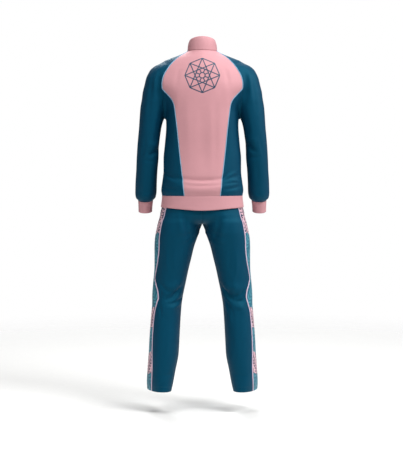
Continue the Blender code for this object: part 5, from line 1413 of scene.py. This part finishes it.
# The trousers
back, side, front = trouser_nets()
for which, mirror in (("left", False), ("right", True)):
    for name, net, finish, slot in (("back", back, TEAL, "teal knit"), ("side", side, PRINTED, "printed side panel"), ("front", front, TEAL, "teal knit")):
        cloth_piece(f"leg_{name}_cloth_{which}", TROUSERS, pulled_in(net), finish, f"trouser_{name}_{which}",
                    mirror=mirror, sewn="lrt")
    flip = MIRROR if mirror else 1.0
    for where, line in (("back", side[:, -1]), ("front", side[:, 0])):
        line = lined(line)
        line[0] += unit(line[1] - line[0]) * 0.0010
        line[-1] += unit(line[-2] - line[-1]) * 0.0010
        points, normals = on_cloth(TROUSERS, line * flip)
        made = profile_strip(f"side_tape_{where}_{which}", points, normals, STRIPE_WIDTH, 0.0012, STRIPE, flat=True)
        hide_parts(f"side_stripe_{where}_{which}")
    # two rows of stitches above the trouser hem
    rows = []
    for z in (TROUSER_HEM + 0.020, TROUSER_HEM + 0.024):
        middle = leg_middle(np.array([z]))
        angle = np.linspace(0, 2 * math.pi, 121)
        line = reached(trouser_skin, middle, turned(angle), 0.2)
        points, normals = on_cloth(TROUSERS, line * flip, 0.0001)
        rows.append((points, normals))
    stitches("hem_stitches_" + which, rows, TEAL_THREAD)

half = np.concatenate([front[-1], side[-1, 1:], back[-1, 1:]])
seam = np.concatenate([half, (half * MIRROR)[::-1][1:-1]])
angle = np.arctan2(seam[:, 1], seam[:, 0])
rows = [seam]
for s in np.linspace(0, 1, 8)[1:]:
    z = WAISTBAND_SEAM + (WAIST - WAISTBAND_SEAM) * s
    rows.append(reached(trouser_skin, np.stack([0 * angle, 0 * angle, z + 0 * angle], -1), turned(angle), 0.22))
net = pulled_in(np.stack(rows), closed=True)
net = np.concatenate([net, net[:, :1]], axis=1)
cloth_piece("waist_rib", TROUSERS, net, TEAL_RIB, "waistband", BAND, joined=len(net), sewn="b")

for node in ("zip_slider", "zip_pull"):
    for slot in frame["nodes"][node].material_slots:
        slot.material = METAL

# Floor, light and camera
WORLD_LIGHT = 0.16


def area_light(name, place, aim, size, power, colour=(1.0, 1.0, 1.0)):
    data = bpy.data.lights.new(name, "AREA")
    data.shape, data.size, data.energy, data.color = "DISK", size, power, colour
    light = bpy.data.objects.new(name, data)
    light.location = place
    light.rotation_euler = (Vector(aim) - Vector(place)).to_track_quat("-Z", "Y").to_euler()
    bpy.context.scene.collection.objects.link(light)


FLOOR = -1.570  # where the shoes of the figure stood
floor_mesh = bpy.data.meshes.new("studio_floor")
corners = [(math.cos(a) * 5, math.sin(a) * 5, FLOOR) for a in np.linspace(0, 2 * math.pi, 65)[:-1]]
floor_mesh.from_pydata(corners, [], [range(64)])
paper = Nodes("pale paper")
place = paper.add("TexCoord").outputs["Object"]
grain = noise(paper, place, 40.0, 4.0)
paper.set(Base_Color=paper.mix(grain, (0.78, 0.78, 0.77, 1.0), (0.82, 0.82, 0.81, 1.0)), Roughness=0.9)
away = paper.add("VectorMath", place, operation="LENGTH").outputs["Value"]
paper.set(Alpha=paper.add("MapRange", away, 1.9, 4.5, 1.0, 0.0, interpolation_type="SMOOTHSTEP").outputs[0])
floor_mesh.materials.append(paper.material)
floor = bpy.data.objects.new("studio_floor", floor_mesh)
bpy.context.scene.collection.objects.link(floor)

world = bpy.data.worlds.new("studio")
world.use_nodes = True
tree = world.node_tree
seen = tree.nodes.new("ShaderNodeLightPath").outputs["Is Camera Ray"]
strength = tree.nodes.new("ShaderNodeMapRange")
strength.inputs["To Min"].default_value, strength.inputs["To Max"].default_value = WORLD_LIGHT, 1.0
tree.links.new(seen, strength.inputs[0])
tree.links.new(strength.outputs[0], tree.nodes["Background"].inputs["Strength"])
tree.nodes["Background"].inputs["Color"].default_value = (1.0, 1.0, 1.0, 1.0)
bpy.context.scene.world = world

area_light("key", (-2.3, 2.3, 2.7), (0, 0, -0.6), 1.8, 160)
area_light("side", (-3.6, 0.3, 1.5), (0, 0, -0.5), 1.2, 75)
area_light("fill", (2.2, 3.0, 2.4), (0, 0, -0.7), 2.0, 72)
area_light("top", (-0.3, 0.5, 3.1), (0, 0, -0.6), 1.6, 48)
area_light("behind", (0.3, 5.6, 0.8), (0, 0, -0.9), 2.4, 24)
area_light("front", (0.6, -3.4, 3.2), (0, 0, -0.7), 2.4, 165)

camera_data = bpy.data.cameras.new("camera")
camera_data.lens, camera_data.sensor_width, camera_data.sensor_height = 109.4, 36, 36
camera_data.sensor_fit = "AUTO"
camera = bpy.data.objects.new("camera", camera_data)
camera.location = (0.0035, 5.995, -0.5187)
camera.rotation_euler = (Vector((0.0035, 0.0, -0.7597)) - camera.location).to_track_quat("-Z", "Y").to_euler()
bpy.context.scene.collection.objects.link(camera)
bpy.context.scene.camera = camera
bpy.context.scene.view_settings.view_transform = "Standard"
